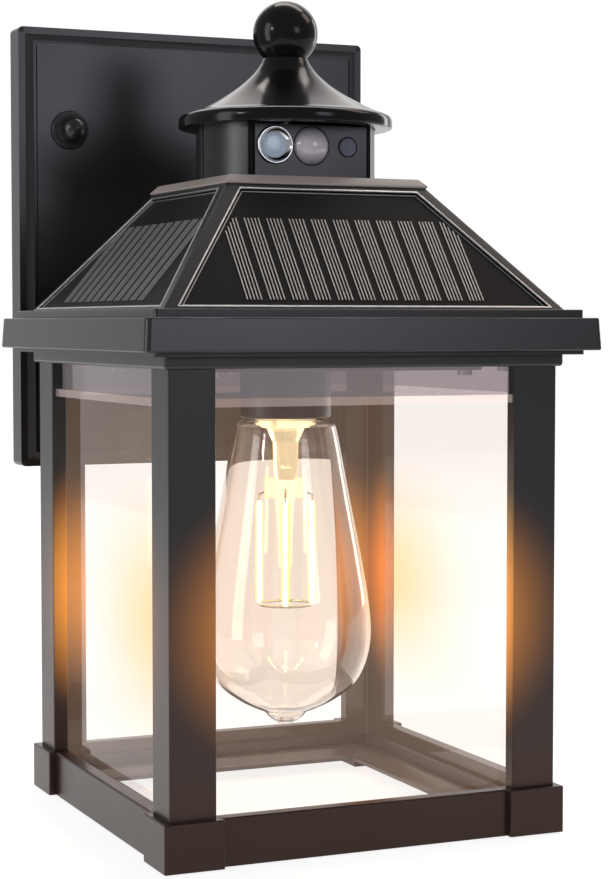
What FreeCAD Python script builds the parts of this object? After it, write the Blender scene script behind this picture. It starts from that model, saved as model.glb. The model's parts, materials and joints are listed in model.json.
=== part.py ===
"""Outdoor wall lantern with a solar roof, a motion-sensor turret and a screw-in filament bulb.

Row frame, in millimetres: the origin is the middle of the wall crossbar's screw pattern, on the
wall. +Z is up, -Y points away from the wall, out of the lantern's front, and +X is to the right.
The lantern's own pieces are drawn about its vertical axis, with heights counted from its foot,
and placed by lantern_file, which carries them to the row frame.
"""

import FreeCAD, Part
import math
import os

Vector = FreeCAD.Vector

# ---- driving dimensions -------------------------------------------------------------------------
WALL_TO_AXIS = 105.0        # wall to the lantern's vertical axis
FOOT_Z = -259.5             # lantern's foot, below the wall screws

PLATE_HALF_W = 75.0         # backplate
PLATE_HALF_H = 87.5
PLATE_CENTRE_Z = -47.0
PLATE_RIM_D = 11.4          # wall to the front edge of the pan's side
PLATE_FIELD_D = 13.2        # wall to the raised field
PLATE_WALL = 2.2
STUD_X = 54.5

CAGE = 73.3                 # half the cage's width, at the outer face of posts and rails
POST_W = 16.8
POST_T = 5.6
BLOCK_PROUD = 2.7
BLOCK_W = 21.6
BASE_H = 16.6
BLOCK_FLOOR = 4.0

PANE_T = 2.0
PANE_SEAT_Z = 9.0
PANE_GAP = 0.1
OPENING = 51.0              # half the open foot

CORNICE, LIP, RIM = 75.2, 80.6, 80.3
FASCIA_LOW, FASCIA_HIGH = 85.4, 84.7
CORNICE_Z, LIP_Z, FASCIA_Z, RIM_Z, ROOF_Z = 167.1, 171.3, 172.8, 184.2, 187.1
TRAY_CAVITY = 77.0
TRAY_WELL = 73.7            # half the cavity down inside the cornice
TRAY_FLOOR_Z, TRAY_SHELF_Z = 170.3, 173.4
TRAY_PORT = 45.0            # half the opening in the tray's floor

ROOF_LOW, ROOF_HIGH = 75.4, 36.4
ROOF_TOP_Z = 233.9
ROOF_WALL = 2.6
PANEL_RECESS = 2.2
PANEL_T = 1.3
PANEL_LOW_S, PANEL_HIGH_S = 0.9, 55.2          # recess, along the slope from the eave
PANEL_LOW_X, PANEL_HIGH_X = 70.4, 34.4         # half widths at those two places
CELL_COUNT = 11
CELL_PITCH = 8.4
CELL_W = 5.0
CELL_LOW_S, CELL_HIGH_S = 4.6, 41.4
CELL_T = 0.25

TURRET_R = 33.1
TURRET_WALL = 2.2
TURRET_TOP_Z = 255.4
FLAT_Y = 23.8               # axis to the turret's flat
FLAT_HALF_W = 22.8
SENSOR_Z = 246.2
SENSOR_X = 14.4

CAP_R = 39.6
CAP_LOW_Z, CAP_RIM_Z = 253.9, 257.2
CAP_NECK_R, CAP_TOP_Z = 8.1, 280.0
BALL_R, BALL_Z = 12.0, 289.2

HOLDER_R = 17.0
HOLDER_LOW_Z = 147.2
BULB_R = 32.0
BULB_TIP_Z = 31.2
BULB_NECK_Z = 147.3
BULB_GLASS_T = 0.8
BASE_R = 13.15              # crest of the bulb's E26 thread
BASE_TOP_Z = 166.0
THREAD_PITCH = 3.63

SLOPE = math.atan2(ROOF_TOP_Z - ROOF_Z, ROOF_LOW - ROOF_HIGH)


# ---- plain shapes -------------------------------------------------------------------------------
def box(x, y, z):
    """A block between pairs of limits."""
    return Part.makeBox(x[1] - x[0], y[1] - y[0], z[1] - z[0], Vector(x[0], y[0], z[0]))


def slab(half, low, high):
    """A square block about the axis."""
    return box((-half, half), (-half, half), (low, high))


def square_loft(half_low, half_high, low, high):
    """A square block about the axis whose sides lean."""
    def outline(half, z):
        corners = [(-half, -half), (half, -half), (half, half), (-half, half), (-half, -half)]
        return Part.makePolygon([Vector(x, y, z) for x, y in corners])
    return Part.makeLoft([outline(half_low, low), outline(half_high, high)], True, True)


def disc(radius, low, high, x=0.0, y=0.0):
    """A cylinder that stands up."""
    return Part.makeCylinder(radius, high - low, Vector(x, y, low))


def bar(radius, back, front, x=0.0, z=0.0):
    """A cylinder along Y, from y = back towards the front, y = front."""
    return Part.makeCylinder(radius, back - front, Vector(x, back, z), Vector(0, -1, 0))


def turned(points, x=0.0, y=0.0):
    """A closed (radius, height) outline turned about a vertical line."""
    wire = Part.makePolygon([Vector(x + r, y, z) for r, z in points + points[:1]])
    return Part.Face(wire).revolve(Vector(x, y, 0), Vector(0, 0, 1), 360)


def turned_forward(points, x, z):
    """A closed (radius, distance forward) outline turned about a line along Y."""
    wire = Part.makePolygon([Vector(x + r, -d, z) for r, d in points + points[:1]])
    return Part.Face(wire).revolve(Vector(x, 0, z), Vector(0, 1, 0), 360)


def prism_x(points, half_length):
    """A closed (y, z) outline drawn out along X, centred."""
    wire = Part.makePolygon([Vector(-half_length, y, z) for y, z in points + points[:1]])
    return Part.Face(wire).extrude(Vector(2 * half_length, 0, 0))


def hexagon(across, low, high, x=0.0, y=0.0):
    """A hexagon nut's body, by its size across the flats."""
    radius = across / math.sqrt(3)
    corners = [(x + radius * math.cos(math.radians(60 * k)), y + radius * math.sin(math.radians(60 * k)))
               for k in range(7)]
    wire = Part.makePolygon([Vector(cx, cy, low) for cx, cy in corners])
    return Part.Face(wire).extrude(Vector(0, 0, high - low))


def joined(first, *others):
    """One solid out of several that touch or overlap."""
    return first.fuse(list(others)).removeSplitter()


def spun(shape, degrees):
    """A copy turned about the vertical axis."""
    copy = shape.copy()
    copy.rotate(Vector(0, 0, 0), Vector(0, 0, 1), degrees)
    return copy


def four_sides(shape):
    """The same shape at the front, right, rear and left."""
    return [spun(shape, 90 * k) for k in range(4)]


def at_corners(shape_at, half):
    """shape_at(x, y) at the four corners of a square."""
    return [shape_at(sx * half, sy * half) for sx in (-1, 1) for sy in (-1, 1)]


def softened(shape, radius, wanted):
    """Edges that pass the test wanted(edge) get a round of this radius."""
    edges = [edge for edge in shape.Edges if wanted(edge)]
    return shape.makeFillet(radius, edges)


def stands(edge):
    """A straight edge that runs up and down, or nearly."""
    ends = [vertex.Point for vertex in edge.Vertexes]
    if len(ends) != 2:
        return False
    run = ends[1].sub(ends[0])
    return abs(run.z) > 0.8 * run.Length and edge.Length > 0.98 * run.Length - 1e-6


def level_at(*heights):
    """A test for edges that lie flat at one of these heights."""
    def wanted(edge):
        limits = edge.BoundBox
        return any(abs(limits.ZMin - z) < 1e-4 and abs(limits.ZMax - z) < 1e-4 for z in heights)
    return wanted


# ---- files --------------------------------------------------------------------------------------
def part_file(node, *solids):
    """One file for a node; several solids make a group."""
    shape = solids[0] if len(solids) == 1 else Part.makeCompound(list(solids))
    shape.exportStep("parts/" + node + ".step")


def lantern_file(node, *solids):
    """Carries solids from the lantern's own axis and foot to the row frame."""
    placed = []
    for solid in solids:
        copy = solid.copy()
        copy.translate(Vector(0, -WALL_TO_AXIS, FOOT_Z))
        placed.append(copy)
    part_file(node, *placed)


# ---- screws -------------------------------------------------------------------------------------
SCREW_R, SCREW_HEAD_R, SCREW_HEAD_H = 1.5, 2.8, 1.9
SCREW_HOLE_R = 1.6


def screw_up(length, seat_z, x, y):
    """A pan-head M3 screw pushed up from below: the head hangs under seat_z."""
    head = disc(SCREW_HEAD_R, seat_z - SCREW_HEAD_H, seat_z, x, y)
    return joined(head, disc(SCREW_R, seat_z, seat_z + length, x, y))


def screw_down(length, seat_z, x, y):
    """The same screw driven down from above."""
    head = disc(SCREW_HEAD_R, seat_z, seat_z + SCREW_HEAD_H, x, y)
    return joined(head, disc(SCREW_R, seat_z - length, seat_z, x, y))


# ---- wall side ----------------------------------------------------------------------------------
ARM_HALF_W = 32.0
ARM_LOW, ARM_HIGH = FOOT_Z + 173.5, FOOT_Z + 183.6
ARM_SCREW_X = (12.0, 25.0)          # backplate screws, tray screws
ARM_SCREW_Z = FOOT_Z + 178.5
M4_R, M4_HOLE_R = 2.0, 2.15


def backplate():
    """A die-cast pan, open to the wall: a stepped edge, a sloped bead, a groove and a raised field."""
    def tier(inset, back, front):
        half_w, half_h = PLATE_HALF_W - inset, PLATE_HALF_H - inset
        return box((-half_w, half_w), (front, back), (PLATE_CENTRE_Z - half_h, PLATE_CENTRE_Z + half_h))

    def outline(inset, y):
        half_w, half_h = PLATE_HALF_W - inset, PLATE_HALF_H - inset
        corners = [(-half_w, -half_h), (half_w, -half_h), (half_w, half_h), (-half_w, half_h)]
        return Part.makePolygon([Vector(x, y, PLATE_CENTRE_Z + z) for x, z in corners + corners[:1]])

    def along_y(edge):
        limits = edge.BoundBox
        return limits.YLength > 5 and limits.XLength < 1e-6 and limits.ZLength < 1e-6

    pan = softened(tier(0, 0, -PLATE_RIM_D), 2.0, along_y)
    bead = Part.makeLoft([outline(2.8, -PLATE_RIM_D), outline(5.6, -PLATE_FIELD_D)], True, True)
    plate = joined(pan, bead)
    groove = tier(6.0, -PLATE_FIELD_D + 0.7, -PLATE_FIELD_D).cut(tier(7.1, 0, -PLATE_FIELD_D))
    hollow = softened(tier(PLATE_WALL, 0, -PLATE_RIM_D + PLATE_WALL), 1.0, along_y)
    holes = [bar(M4_HOLE_R, 0, -PLATE_FIELD_D, side * STUD_X) for side in (-1, 1)]
    holes += [bar(M4_HOLE_R, 0, -PLATE_FIELD_D, side * ARM_SCREW_X[0], ARM_SCREW_Z) for side in (-1, 1)]
    return plate.cut([groove, hollow] + holes)


CROSSBAR_T = 2.0
CROSSBAR_HALF_W, CROSSBAR_HALF_H = 66.0, 11.0
SLOT_X, SLOT_LENGTH, SLOT_W = 35.0, 16.0, 5.0


def crossbar():
    """The steel strip that is screwed to the wall, with a slot each side and a stud near each end."""
    strip = box((-CROSSBAR_HALF_W, CROSSBAR_HALF_W), (-CROSSBAR_T, 0), (-CROSSBAR_HALF_H, CROSSBAR_HALF_H))
    half = SLOT_LENGTH / 2 - SLOT_W / 2
    cuts = []
    for side in (-1, 1):
        centre = side * SLOT_X
        cuts.append(box((centre - half, centre + half), (-CROSSBAR_T, 0), (-SLOT_W / 2, SLOT_W / 2)))
        cuts += [bar(SLOT_W / 2, 0, -CROSSBAR_T, centre + end * half) for end in (-1, 1)]
        cuts.append(bar(M4_HOLE_R, 0, -CROSSBAR_T, side * STUD_X))
    return strip.cut(cuts)


STUD_TIP_Y = -19.5
NUT_FLANGE_R, NUT_FLANGE_T = 7.7, 1.5
NUT_DOME_R = 4.75


def mounting_stud(x):
    """An M4 stud with a collar that bears on the crossbar."""
    collar = bar(3.6, -CROSSBAR_T, -CROSSBAR_T - 1.6, x)
    return joined(collar, bar(M4_R, -0.2, STUD_TIP_Y, x))


def cap_nut(x):
    """A round domed nut on a flange, with a blind thread for the stud."""
    seat = PLATE_FIELD_D
    neck = seat + NUT_FLANGE_T
    crown = neck + 4.2
    outline = [(0, seat), (NUT_FLANGE_R, seat), (NUT_FLANGE_R, seat + 0.9),
               (NUT_FLANGE_R - 0.7, neck), (NUT_DOME_R, neck), (NUT_DOME_R, crown)]
    steps = 8
    outline += [(NUT_DOME_R * math.cos(math.radians(90 * k / steps)),
                 crown + NUT_DOME_R * math.sin(math.radians(90 * k / steps))) for k in range(1, steps)]
    outline += [(0, crown + NUT_DOME_R)]
    return turned_forward(outline, x, 0).cut(bar(M4_HOLE_R, -seat, STUD_TIP_Y - 1.0, x))


def fascia_y(z):
    """How far the fascia's rear face stands from the wall, at a height above the foot."""
    lean = (z - FASCIA_Z) / (RIM_Z - FASCIA_Z)
    return -WALL_TO_AXIS + FASCIA_LOW + lean * (FASCIA_HIGH - FASCIA_LOW)


def arm():
    """The short casting that carries the lantern's head off the backplate."""
    low_y, high_y = fascia_y(ARM_LOW - FOOT_Z), fascia_y(ARM_HIGH - FOOT_Z)
    block = prism_x([(-PLATE_FIELD_D, ARM_LOW), (-PLATE_FIELD_D, ARM_HIGH), (high_y, ARM_HIGH),
                     (low_y, ARM_LOW)], ARM_HALF_W)
    plate_x, tray_x = ARM_SCREW_X
    drills = []
    for side in (-1, 1):
        drills.append(bar(M4_HOLE_R, -PLATE_FIELD_D, -PLATE_FIELD_D - 5.2, side * plate_x, ARM_SCREW_Z))
        drills.append(bar(M4_HOLE_R, -15.0, -21.0, side * tray_x, ARM_SCREW_Z))
    return block.cut(drills)


def arm_screws():
    """Two screws from inside the pan and two from inside the tray, all alike."""
    screws = []
    length, head_r, head_h = 8.0, 3.6, 2.2
    for side in (-1, 1):
        x = side * ARM_SCREW_X[0]
        seat = -PLATE_RIM_D + PLATE_WALL
        screws.append(joined(bar(head_r, seat + head_h, seat, x, ARM_SCREW_Z),
                             bar(M4_R, seat, seat - length, x, ARM_SCREW_Z)))
        x = side * ARM_SCREW_X[1]
        seat = -WALL_TO_AXIS + TRAY_CAVITY
        screws.append(joined(bar(head_r, seat, seat - head_h, x, ARM_SCREW_Z),
                             bar(M4_R, seat + length + 3.4, seat, x, ARM_SCREW_Z)))
    return screws


# ---- base ---------------------------------------------------------------------------------------
PANE_OUT = CAGE - POST_T - PANE_GAP            # outer face of the glass
PANE_IN = PANE_OUT - PANE_T
POST_IN = CAGE - POST_T
BLOCK_IN = CAGE + BLOCK_PROUD - BLOCK_W
POST_SCREW_XY = CAGE - POST_T / 2
POST_SCREW_LENGTH = 16.0
BLOCK_SEAT_Z = 8.0


def corner_block(sx, sy):
    """A proud block round one corner of the foot, with a floor under the liner."""
    out = CAGE + BLOCK_PROUD
    solid = box(sorted((sx * BLOCK_IN, sx * out)), sorted((sy * BLOCK_IN, sy * out)), (0, BASE_H))
    solid = softened(solid, 0.7, stands)
    solid = softened(solid, 0.5, level_at(BASE_H))
    solid = solid.cut(slab(POST_IN, BLOCK_FLOOR, BASE_H))
    x, y = sx * POST_SCREW_XY, sy * POST_SCREW_XY
    solid = solid.cut([disc(SCREW_HEAD_R + 0.3, 0, BLOCK_SEAT_Z, x, y),
                       disc(SCREW_HOLE_R, 0, BASE_H, x, y),
                       disc(SCREW_HEAD_R + 0.3, 0, LINER_SEAT_Z, sx * LINER_SCREW, sy * LINER_SCREW),
                       disc(SCREW_HOLE_R, 0, BLOCK_FLOOR, sx * LINER_SCREW, sy * LINER_SCREW)])
    for along in ((1, 0), (0, 1)):
        solid = solid.cut(rail_pin(sx, sy, along, PIN_R + 0.05))
    return solid


PIN_R, PIN_LENGTH, PIN_Z = 1.5, 12.0, 11.0
LINER_SCREW = 60.0
LINER_SEAT_Z = 2.0


def rail_pin(sx, sy, along, radius):
    """The dowel between a corner block and the rail beside it."""
    x, y = (sx * (BLOCK_IN - PIN_LENGTH / 2), sy * (POST_IN + POST_T / 2)) if along == (1, 0) else (
        sx * (POST_IN + POST_T / 2), sy * (BLOCK_IN - PIN_LENGTH / 2))
    direction = Vector(sx * along[0], sy * along[1], 0)
    return Part.makeCylinder(radius, PIN_LENGTH, Vector(x, y, PIN_Z), direction)


def base_rail():
    """The front rail of the foot, between two corner blocks."""
    solid = box((-BLOCK_IN, BLOCK_IN), (-CAGE, -POST_IN), (0, BASE_H))
    solid = softened(solid, 0.8, lambda e: level_at(BASE_H)(e) and e.BoundBox.XLength > 50)
    for sx in (-1, 1):
        solid = solid.cut(rail_pin(sx, -1, (1, 0), PIN_R + 0.05))
    return solid


def base_liner():
    """The moulded ring inside the rails: a ledge and lip for the glass, stepped down to the open foot."""
    outer = POST_IN - 0.05
    lip = PANE_IN - PANE_GAP
    body = joined(slab(outer, BLOCK_FLOOR, PANE_SEAT_Z), slab(lip, PANE_SEAT_Z, 12.0))
    body = softened(body, 0.5, level_at(12.0))
    dish = square_loft(OPENING, 58.6, 5.4, 8.0)
    upper = slab(62.4, 8.0, 12.0)
    ring = body.cut([dish, upper, slab(OPENING, BLOCK_FLOOR, 8.0)])
    return ring.cut(at_corners(lambda x, y: disc(SCREW_HOLE_R, BLOCK_FLOOR, 7.0, x, y), LINER_SCREW))


# ---- cage ---------------------------------------------------------------------------------------
def post(sx, sy):
    """An L-section post, standing on its corner block."""
    near = CAGE - POST_W
    angle = box(sorted((sx * near, sx * CAGE)), sorted((sy * near, sy * CAGE)), (BASE_H, CORNICE_Z))
    angle = angle.cut(slab(POST_IN, BASE_H, CORNICE_Z))

    def outside(edge):
        centre = edge.BoundBox.Center
        inner_corner = abs(abs(centre.x) - POST_IN) < 1e-4 and abs(abs(centre.y) - POST_IN) < 1e-4
        return stands(edge) and not inner_corner

    angle = softened(angle, 0.6, outside)
    x, y = sx * POST_SCREW_XY, sy * POST_SCREW_XY
    reach = BLOCK_SEAT_Z + POST_SCREW_LENGTH + 0.6
    return angle.cut([disc(SCREW_HOLE_R, BASE_H, reach, x, y),
                      disc(SCREW_HOLE_R, TRAY_FLOOR_Z - POST_SCREW_LENGTH - 0.6, CORNICE_Z, x, y)])


def post_screws():
    """Four long screws up through the blocks and four down through the tray's floor."""
    up = at_corners(lambda x, y: screw_up(POST_SCREW_LENGTH, BLOCK_SEAT_Z, x, y), POST_SCREW_XY)
    down = at_corners(lambda x, y: screw_down(POST_SCREW_LENGTH, TRAY_FLOOR_Z, x, y), POST_SCREW_XY)
    return up + down


def pane(half_width):
    """The front pane: flat glass from the liner's ledge to the tray."""
    return box((-half_width, half_width), (-PANE_OUT, -PANE_IN), (PANE_SEAT_Z, CORNICE_Z))


HEAD_RAIL_OUT = CAGE - 4.2
BEAD_OUT = CAGE - 1.5
BEAD_LOW_Z, BEAD_HIGH_Z = 154.3, 157.2


def head_rail():
    """The smoked strip and bead across the top of the front pane, between two posts."""
    back = -PANE_OUT - 0.05
    outline = [(back, BEAD_LOW_Z), (-BEAD_OUT, BEAD_LOW_Z), (-BEAD_OUT, BEAD_HIGH_Z),
               (-HEAD_RAIL_OUT, BEAD_HIGH_Z), (-HEAD_RAIL_OUT, CORNICE_Z), (back, CORNICE_Z)]
    return prism_x(outline, CAGE - POST_W - 0.1)


# ---- head ---------------------------------------------------------------------------------------
CEILING_Z = 165.5
CEILING = 54.0
CEILING_SCREW = 49.5
ROOF_SCREW = 60.0
ROOF_SCREW_LENGTH = 24.0


def tray():
    """The die-cast tray under the roof: cornice, lip, fascia and rim, hollow for battery and board."""
    cornice = softened(slab(CORNICE, CORNICE_Z, LIP_Z), 1.0, stands)
    cornice = softened(cornice, 1.2, level_at(CORNICE_Z))
    lip = softened(slab(LIP, LIP_Z, FASCIA_Z), 1.0, stands)
    fascia = softened(square_loft(FASCIA_LOW, FASCIA_HIGH, FASCIA_Z, RIM_Z), 2.0, stands)
    fascia = softened(fascia, 0.6, level_at(FASCIA_Z, RIM_Z))
    rim = softened(slab(RIM, RIM_Z, ROOF_Z), 1.0, stands)
    rim = softened(rim, 0.4, level_at(ROOF_Z))
    body = joined(cornice, lip, fascia, rim)
    body = body.cut([slab(TRAY_CAVITY, TRAY_SHELF_Z, ROOF_Z), slab(TRAY_WELL, TRAY_FLOOR_Z, TRAY_SHELF_Z),
                     slab(TRAY_PORT, CORNICE_Z, TRAY_FLOOR_Z)])
    bosses = at_corners(lambda x, y: disc(4.0, TRAY_FLOOR_Z, ROOF_Z, x, y), ROOF_SCREW)
    body = joined(body, *bosses)
    drills = at_corners(lambda x, y: disc(SCREW_HOLE_R, CORNICE_Z, ROOF_Z, x, y), ROOF_SCREW)
    drills += at_corners(lambda x, y: disc(SCREW_HOLE_R, CORNICE_Z, TRAY_FLOOR_Z, x, y), POST_SCREW_XY)
    drills += at_corners(lambda x, y: disc(SCREW_HOLE_R, CORNICE_Z, TRAY_FLOOR_Z, x, y), CEILING_SCREW)
    drills += [bar(M4_HOLE_R, FASCIA_LOW, TRAY_CAVITY, side * ARM_SCREW_X[1], ARM_SCREW_Z - FOOT_Z)
               for side in (-1, 1)]
    return body.cut(drills)


def ceiling_plate():
    """The plate that closes the tray from below and carries the lampholder."""
    plate = slab(CEILING, CEILING_Z, CORNICE_Z)
    drills = at_corners(lambda x, y: disc(SCREW_HOLE_R, CEILING_Z, CORNICE_Z, x, y), CEILING_SCREW)
    drills += [disc(SCREW_HOLE_R, CEILING_Z, CORNICE_Z, side * HOLDER_SCREW_X, 0) for side in (-1, 1)]
    return plate.cut([disc(HOLDER_R + 0.3, CEILING_Z, CORNICE_Z)] + drills)


PAN_SCREW_LENGTH = 4.5


def pan_screws():
    """Identical short screws: ceiling plate to tray, plate to lampholder, and blocks to liner."""
    ceiling = at_corners(lambda x, y: screw_up(PAN_SCREW_LENGTH, CEILING_Z, x, y), CEILING_SCREW)
    holder = [screw_up(PAN_SCREW_LENGTH, CEILING_Z, side * HOLDER_SCREW_X, 0) for side in (-1, 1)]
    liner = at_corners(lambda x, y: screw_up(PAN_SCREW_LENGTH, LINER_SEAT_Z, x, y), LINER_SCREW)
    return ceiling + holder + liner


def roof_screws():
    """Four long screws that hold the roof down on the tray."""
    return at_corners(lambda x, y: screw_up(ROOF_SCREW_LENGTH, CORNICE_Z, x, y), ROOF_SCREW)


def on_slope(shape, turn):
    """Carries a shape drawn flat, x along the eave, y up the slope, z outward, onto a roof side."""
    placed = shape.copy()
    placed.rotate(Vector(0, 0, 0), Vector(1, 0, 0), math.degrees(SLOPE))
    placed.translate(Vector(0, -ROOF_LOW, ROOF_Z))
    return spun(placed, turn)


PANEL_TURNS = (0, 90, -90)          # front, right and left sides; the rear has none


def panel_blank(inset, low, high):
    """A trapezoid that follows the panel's outline, this much smaller all round."""
    lean = math.atan2(PANEL_LOW_X - PANEL_HIGH_X, PANEL_HIGH_S - PANEL_LOW_S)
    def half_width(s):
        share = (s - PANEL_LOW_S) / (PANEL_HIGH_S - PANEL_LOW_S)
        return PANEL_LOW_X + share * (PANEL_HIGH_X - PANEL_LOW_X) - inset / math.cos(lean)
    low_s, high_s = PANEL_LOW_S + inset, PANEL_HIGH_S - inset
    corners = [(-half_width(low_s), low_s), (half_width(low_s), low_s),
               (half_width(high_s), high_s), (-half_width(high_s), high_s)]
    wire = Part.makePolygon([Vector(x, y, low) for x, y in corners + corners[:1]])
    return Part.Face(wire).extrude(Vector(0, 0, high - low))


def roof_shell():
    """The hipped roof: a hollow frustum with a rounded top edge and a recess for each solar panel."""
    outside = square_loft(ROOF_LOW, ROOF_HIGH, ROOF_Z, ROOF_TOP_Z)
    outside = softened(outside, 1.2, stands_or_leans)
    outside = softened(outside, 1.6, level_at(ROOF_TOP_Z))
    shell = outside
    thick = ROOF_WALL + PANEL_RECESS
    run = thick / math.sin(SLOPE)
    ceiling_z = ROOF_TOP_Z - 1.6
    high = ROOF_HIGH - run + (ROOF_TOP_Z - ceiling_z) / math.tan(SLOPE)
    shell = shell.cut(square_loft(ROOF_LOW - run, high, ROOF_Z, ceiling_z))
    bosses = at_corners(lambda x, y: disc(4.0, ROOF_Z, ROOF_Z + 12.0, x, y), ROOF_SCREW)
    shell = joined(shell, *[boss.common(outside) for boss in bosses])
    shell = shell.cut([on_slope(panel_blank(0, -PANEL_RECESS, 1.0), turn) for turn in PANEL_TURNS])
    drills = at_corners(lambda x, y: disc(SCREW_HOLE_R, ROOF_Z, ROOF_Z + 6.0, x, y), ROOF_SCREW)
    drills += [disc(M4_HOLE_R, ceiling_z, ROOF_TOP_Z), disc(4.0, ceiling_z, ROOF_TOP_Z, WIRE_PORT_X, 0)]
    return shell.cut(drills)


def stands_or_leans(edge):
    """The four hips of the roof."""
    limits = edge.BoundBox
    return limits.ZLength > 20


PANEL_GAP = 1.0             # dark groove between the roof and the panel's edging
PANEL_FRAME_W = 0.45
PANEL_SEAT = -PANEL_RECESS + 0.02


def panel_frame(turn):
    """The thin bright edging round a panel."""
    top = PANEL_SEAT + PANEL_T + 0.1
    ring = panel_blank(PANEL_GAP, PANEL_SEAT, top)
    ring = ring.cut(panel_blank(PANEL_GAP + PANEL_FRAME_W, PANEL_SEAT, top))
    return on_slope(ring, turn)


def solar_panel(turn):
    """The dark laminate of one panel."""
    return on_slope(panel_blank(PANEL_GAP + PANEL_FRAME_W + 0.05, PANEL_SEAT, PANEL_SEAT + PANEL_T), turn)


def solar_cells(turn):
    """Upright cells on one panel; the outermost are trimmed to the panel's leaning sides."""
    top = PANEL_SEAT + PANEL_T
    room = panel_blank(PANEL_GAP + PANEL_FRAME_W + 0.6, top, top + CELL_T)
    strips = []
    for k in range(CELL_COUNT):
        x = (k - (CELL_COUNT - 1) / 2) * CELL_PITCH
        cell = box((x - CELL_W / 2, x + CELL_W / 2), (CELL_LOW_S, CELL_HIGH_S), (top, top + CELL_T))
        strips.append(on_slope(cell.common(room), turn))
    return strips


# ---- turret -------------------------------------------------------------------------------------
WIRE_PORT_X = -12.0


def turret_ring():
    ring = disc(TURRET_R, ROOF_TOP_Z, TURRET_TOP_Z)
    return ring.cut(disc(TURRET_R - TURRET_WALL, ROOF_TOP_Z, TURRET_TOP_Z))


def turret_rear():
    """The rear half of the round housing."""
    return turret_ring().common(box((-40, 40), (0.1, 40), (ROOF_TOP_Z, TURRET_TOP_Z)))


def turret_front():
    """The front half: two curved cheeks and a flange behind the flat panel."""
    half = turret_ring().common(box((-40, 40), (-FLAT_Y, -0.1), (ROOF_TOP_Z, TURRET_TOP_Z)))
    half = half.cut(box((-FLAT_HALF_W, FLAT_HALF_W), (-40, -20), (ROOF_TOP_Z, TURRET_TOP_Z)))
    back = -FLAT_Y + 1.5
    flange_half = FLAT_HALF_W + 1.2
    flange = box((-flange_half, flange_half), (back, back + 1.5), (ROOF_TOP_Z, TURRET_TOP_Z))
    window = box((-21.6, 21.6), (back, back + 1.5), (237.5, 253.0))
    return joined(half, flange.cut(window))


def sensor_panel():
    """The flat front plate of the turret, with holes for photocell, lens and button."""
    width = FLAT_HALF_W - 0.3
    plate = box((-width, width), (-FLAT_Y, -FLAT_Y + 1.5), (ROOF_TOP_Z + 0.4, TURRET_TOP_Z - 1.7))
    holes = [(-SENSOR_X, PHOTOCELL_HOLE_R), (0.0, LENS_HOLE_R), (SENSOR_X, BUTTON_HOLE_R)]
    return plate.cut([bar(radius, -20, -25, x, SENSOR_Z) for x, radius in holes])


PHOTOCELL_HOLE_R, LENS_HOLE_R, BUTTON_HOLE_R = 6.0, 6.2, 3.85
BUTTON_R = 3.45
BOARD_Y = 17.6              # front face of the sensor board, from the axis


def photocell_bezel():
    """A bright ring with a conical mouth round the photocell's window."""
    outline = [(4.9, FLAT_Y - 2.4), (5.9, FLAT_Y - 2.4), (5.9, FLAT_Y), (6.8, FLAT_Y), (6.8, FLAT_Y + 0.9),
               (6.3, FLAT_Y + 1.3), (5.9, FLAT_Y + 1.1), (4.75, FLAT_Y + 0.1), (4.75, FLAT_Y - 0.6),
               (4.9, FLAT_Y - 0.6)]
    return turned_forward(outline, -SENSOR_X, SENSOR_Z)


def photocell_window():
    """The pale blue window in the bezel."""
    return bar(4.7, -FLAT_Y + 0.6, -FLAT_Y - 0.1, -SENSOR_X, SENSOR_Z)


def photocell():
    """The light-dependent resistor behind its window, on the board."""
    return bar(2.5, -BOARD_Y, -BOARD_Y - 3.4, -SENSOR_X, SENSOR_Z)


LENS_R, LENS_RISE = 6.8, 4.3


def pir_lens():
    """The milky dome lens: a spherical shell on a short skirt."""
    def dome(radius, rise, base):
        ball_r = (radius * radius + rise * rise) / (2 * rise)
        ball = Part.makeSphere(ball_r, Vector(0, -(base + rise - ball_r), SENSOR_Z))
        return ball.common(box((-10, 10), (-base - rise - 1, -base), (SENSOR_Z - 10, SENSOR_Z + 10)))
    back = -FLAT_Y + 2.2
    bore_r = 5.2
    solid = joined(dome(LENS_R, LENS_RISE, FLAT_Y), bar(LENS_HOLE_R - 0.15, back, -FLAT_Y, 0, SENSOR_Z))
    hollow = joined(dome(bore_r, LENS_RISE - 1.0, FLAT_Y), bar(bore_r, back, -FLAT_Y, 0, SENSOR_Z))
    return solid.cut(hollow)


def pir_sensor():
    """The infrared sensor's metal can, with its flange, on the board."""
    can = bar(4.1, -BOARD_Y, -BOARD_Y - 4.0, 0, SENSOR_Z)
    return joined(can, bar(4.7, -BOARD_Y, -BOARD_Y - 0.6, 0, SENSOR_Z))


SWITCH_FRONT = BOARD_Y + 2.4


def tact_switch():
    """The switch behind the button, with a well for the button's stem."""
    half = 3.0
    body = box((SENSOR_X - half, SENSOR_X + half), (-SWITCH_FRONT, -BOARD_Y),
               (SENSOR_Z - half, SENSOR_Z + half))
    return body.cut(bar(1.8, -BOARD_Y - 0.4, -SWITCH_FRONT, SENSOR_X, SENSOR_Z))


def mode_button():
    """The round push button: a face just proud of the panel, a retaining flange and a stem."""
    face = bar(BUTTON_R, -FLAT_Y + 1.7, -FLAT_Y - 0.5, SENSOR_X, SENSOR_Z)
    face = softened(face, 0.35, lambda e: abs(e.BoundBox.YMin + FLAT_Y + 0.5) < 1e-4
                    and e.BoundBox.YLength < 1e-4)
    flange = bar(BUTTON_R + 1.1, -FLAT_Y + 2.3, -FLAT_Y + 1.6, SENSOR_X, SENSOR_Z)
    stem = bar(1.5, -SWITCH_FRONT + 0.5, -FLAT_Y + 2.3, SENSOR_X, SENSOR_Z)
    return joined(face, flange, stem)


def sensor_board():
    """The upright circuit board in the turret."""
    return box((-19.5, 19.5), (-BOARD_Y, -BOARD_Y + 1.6), (237.2, 253.2))


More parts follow.
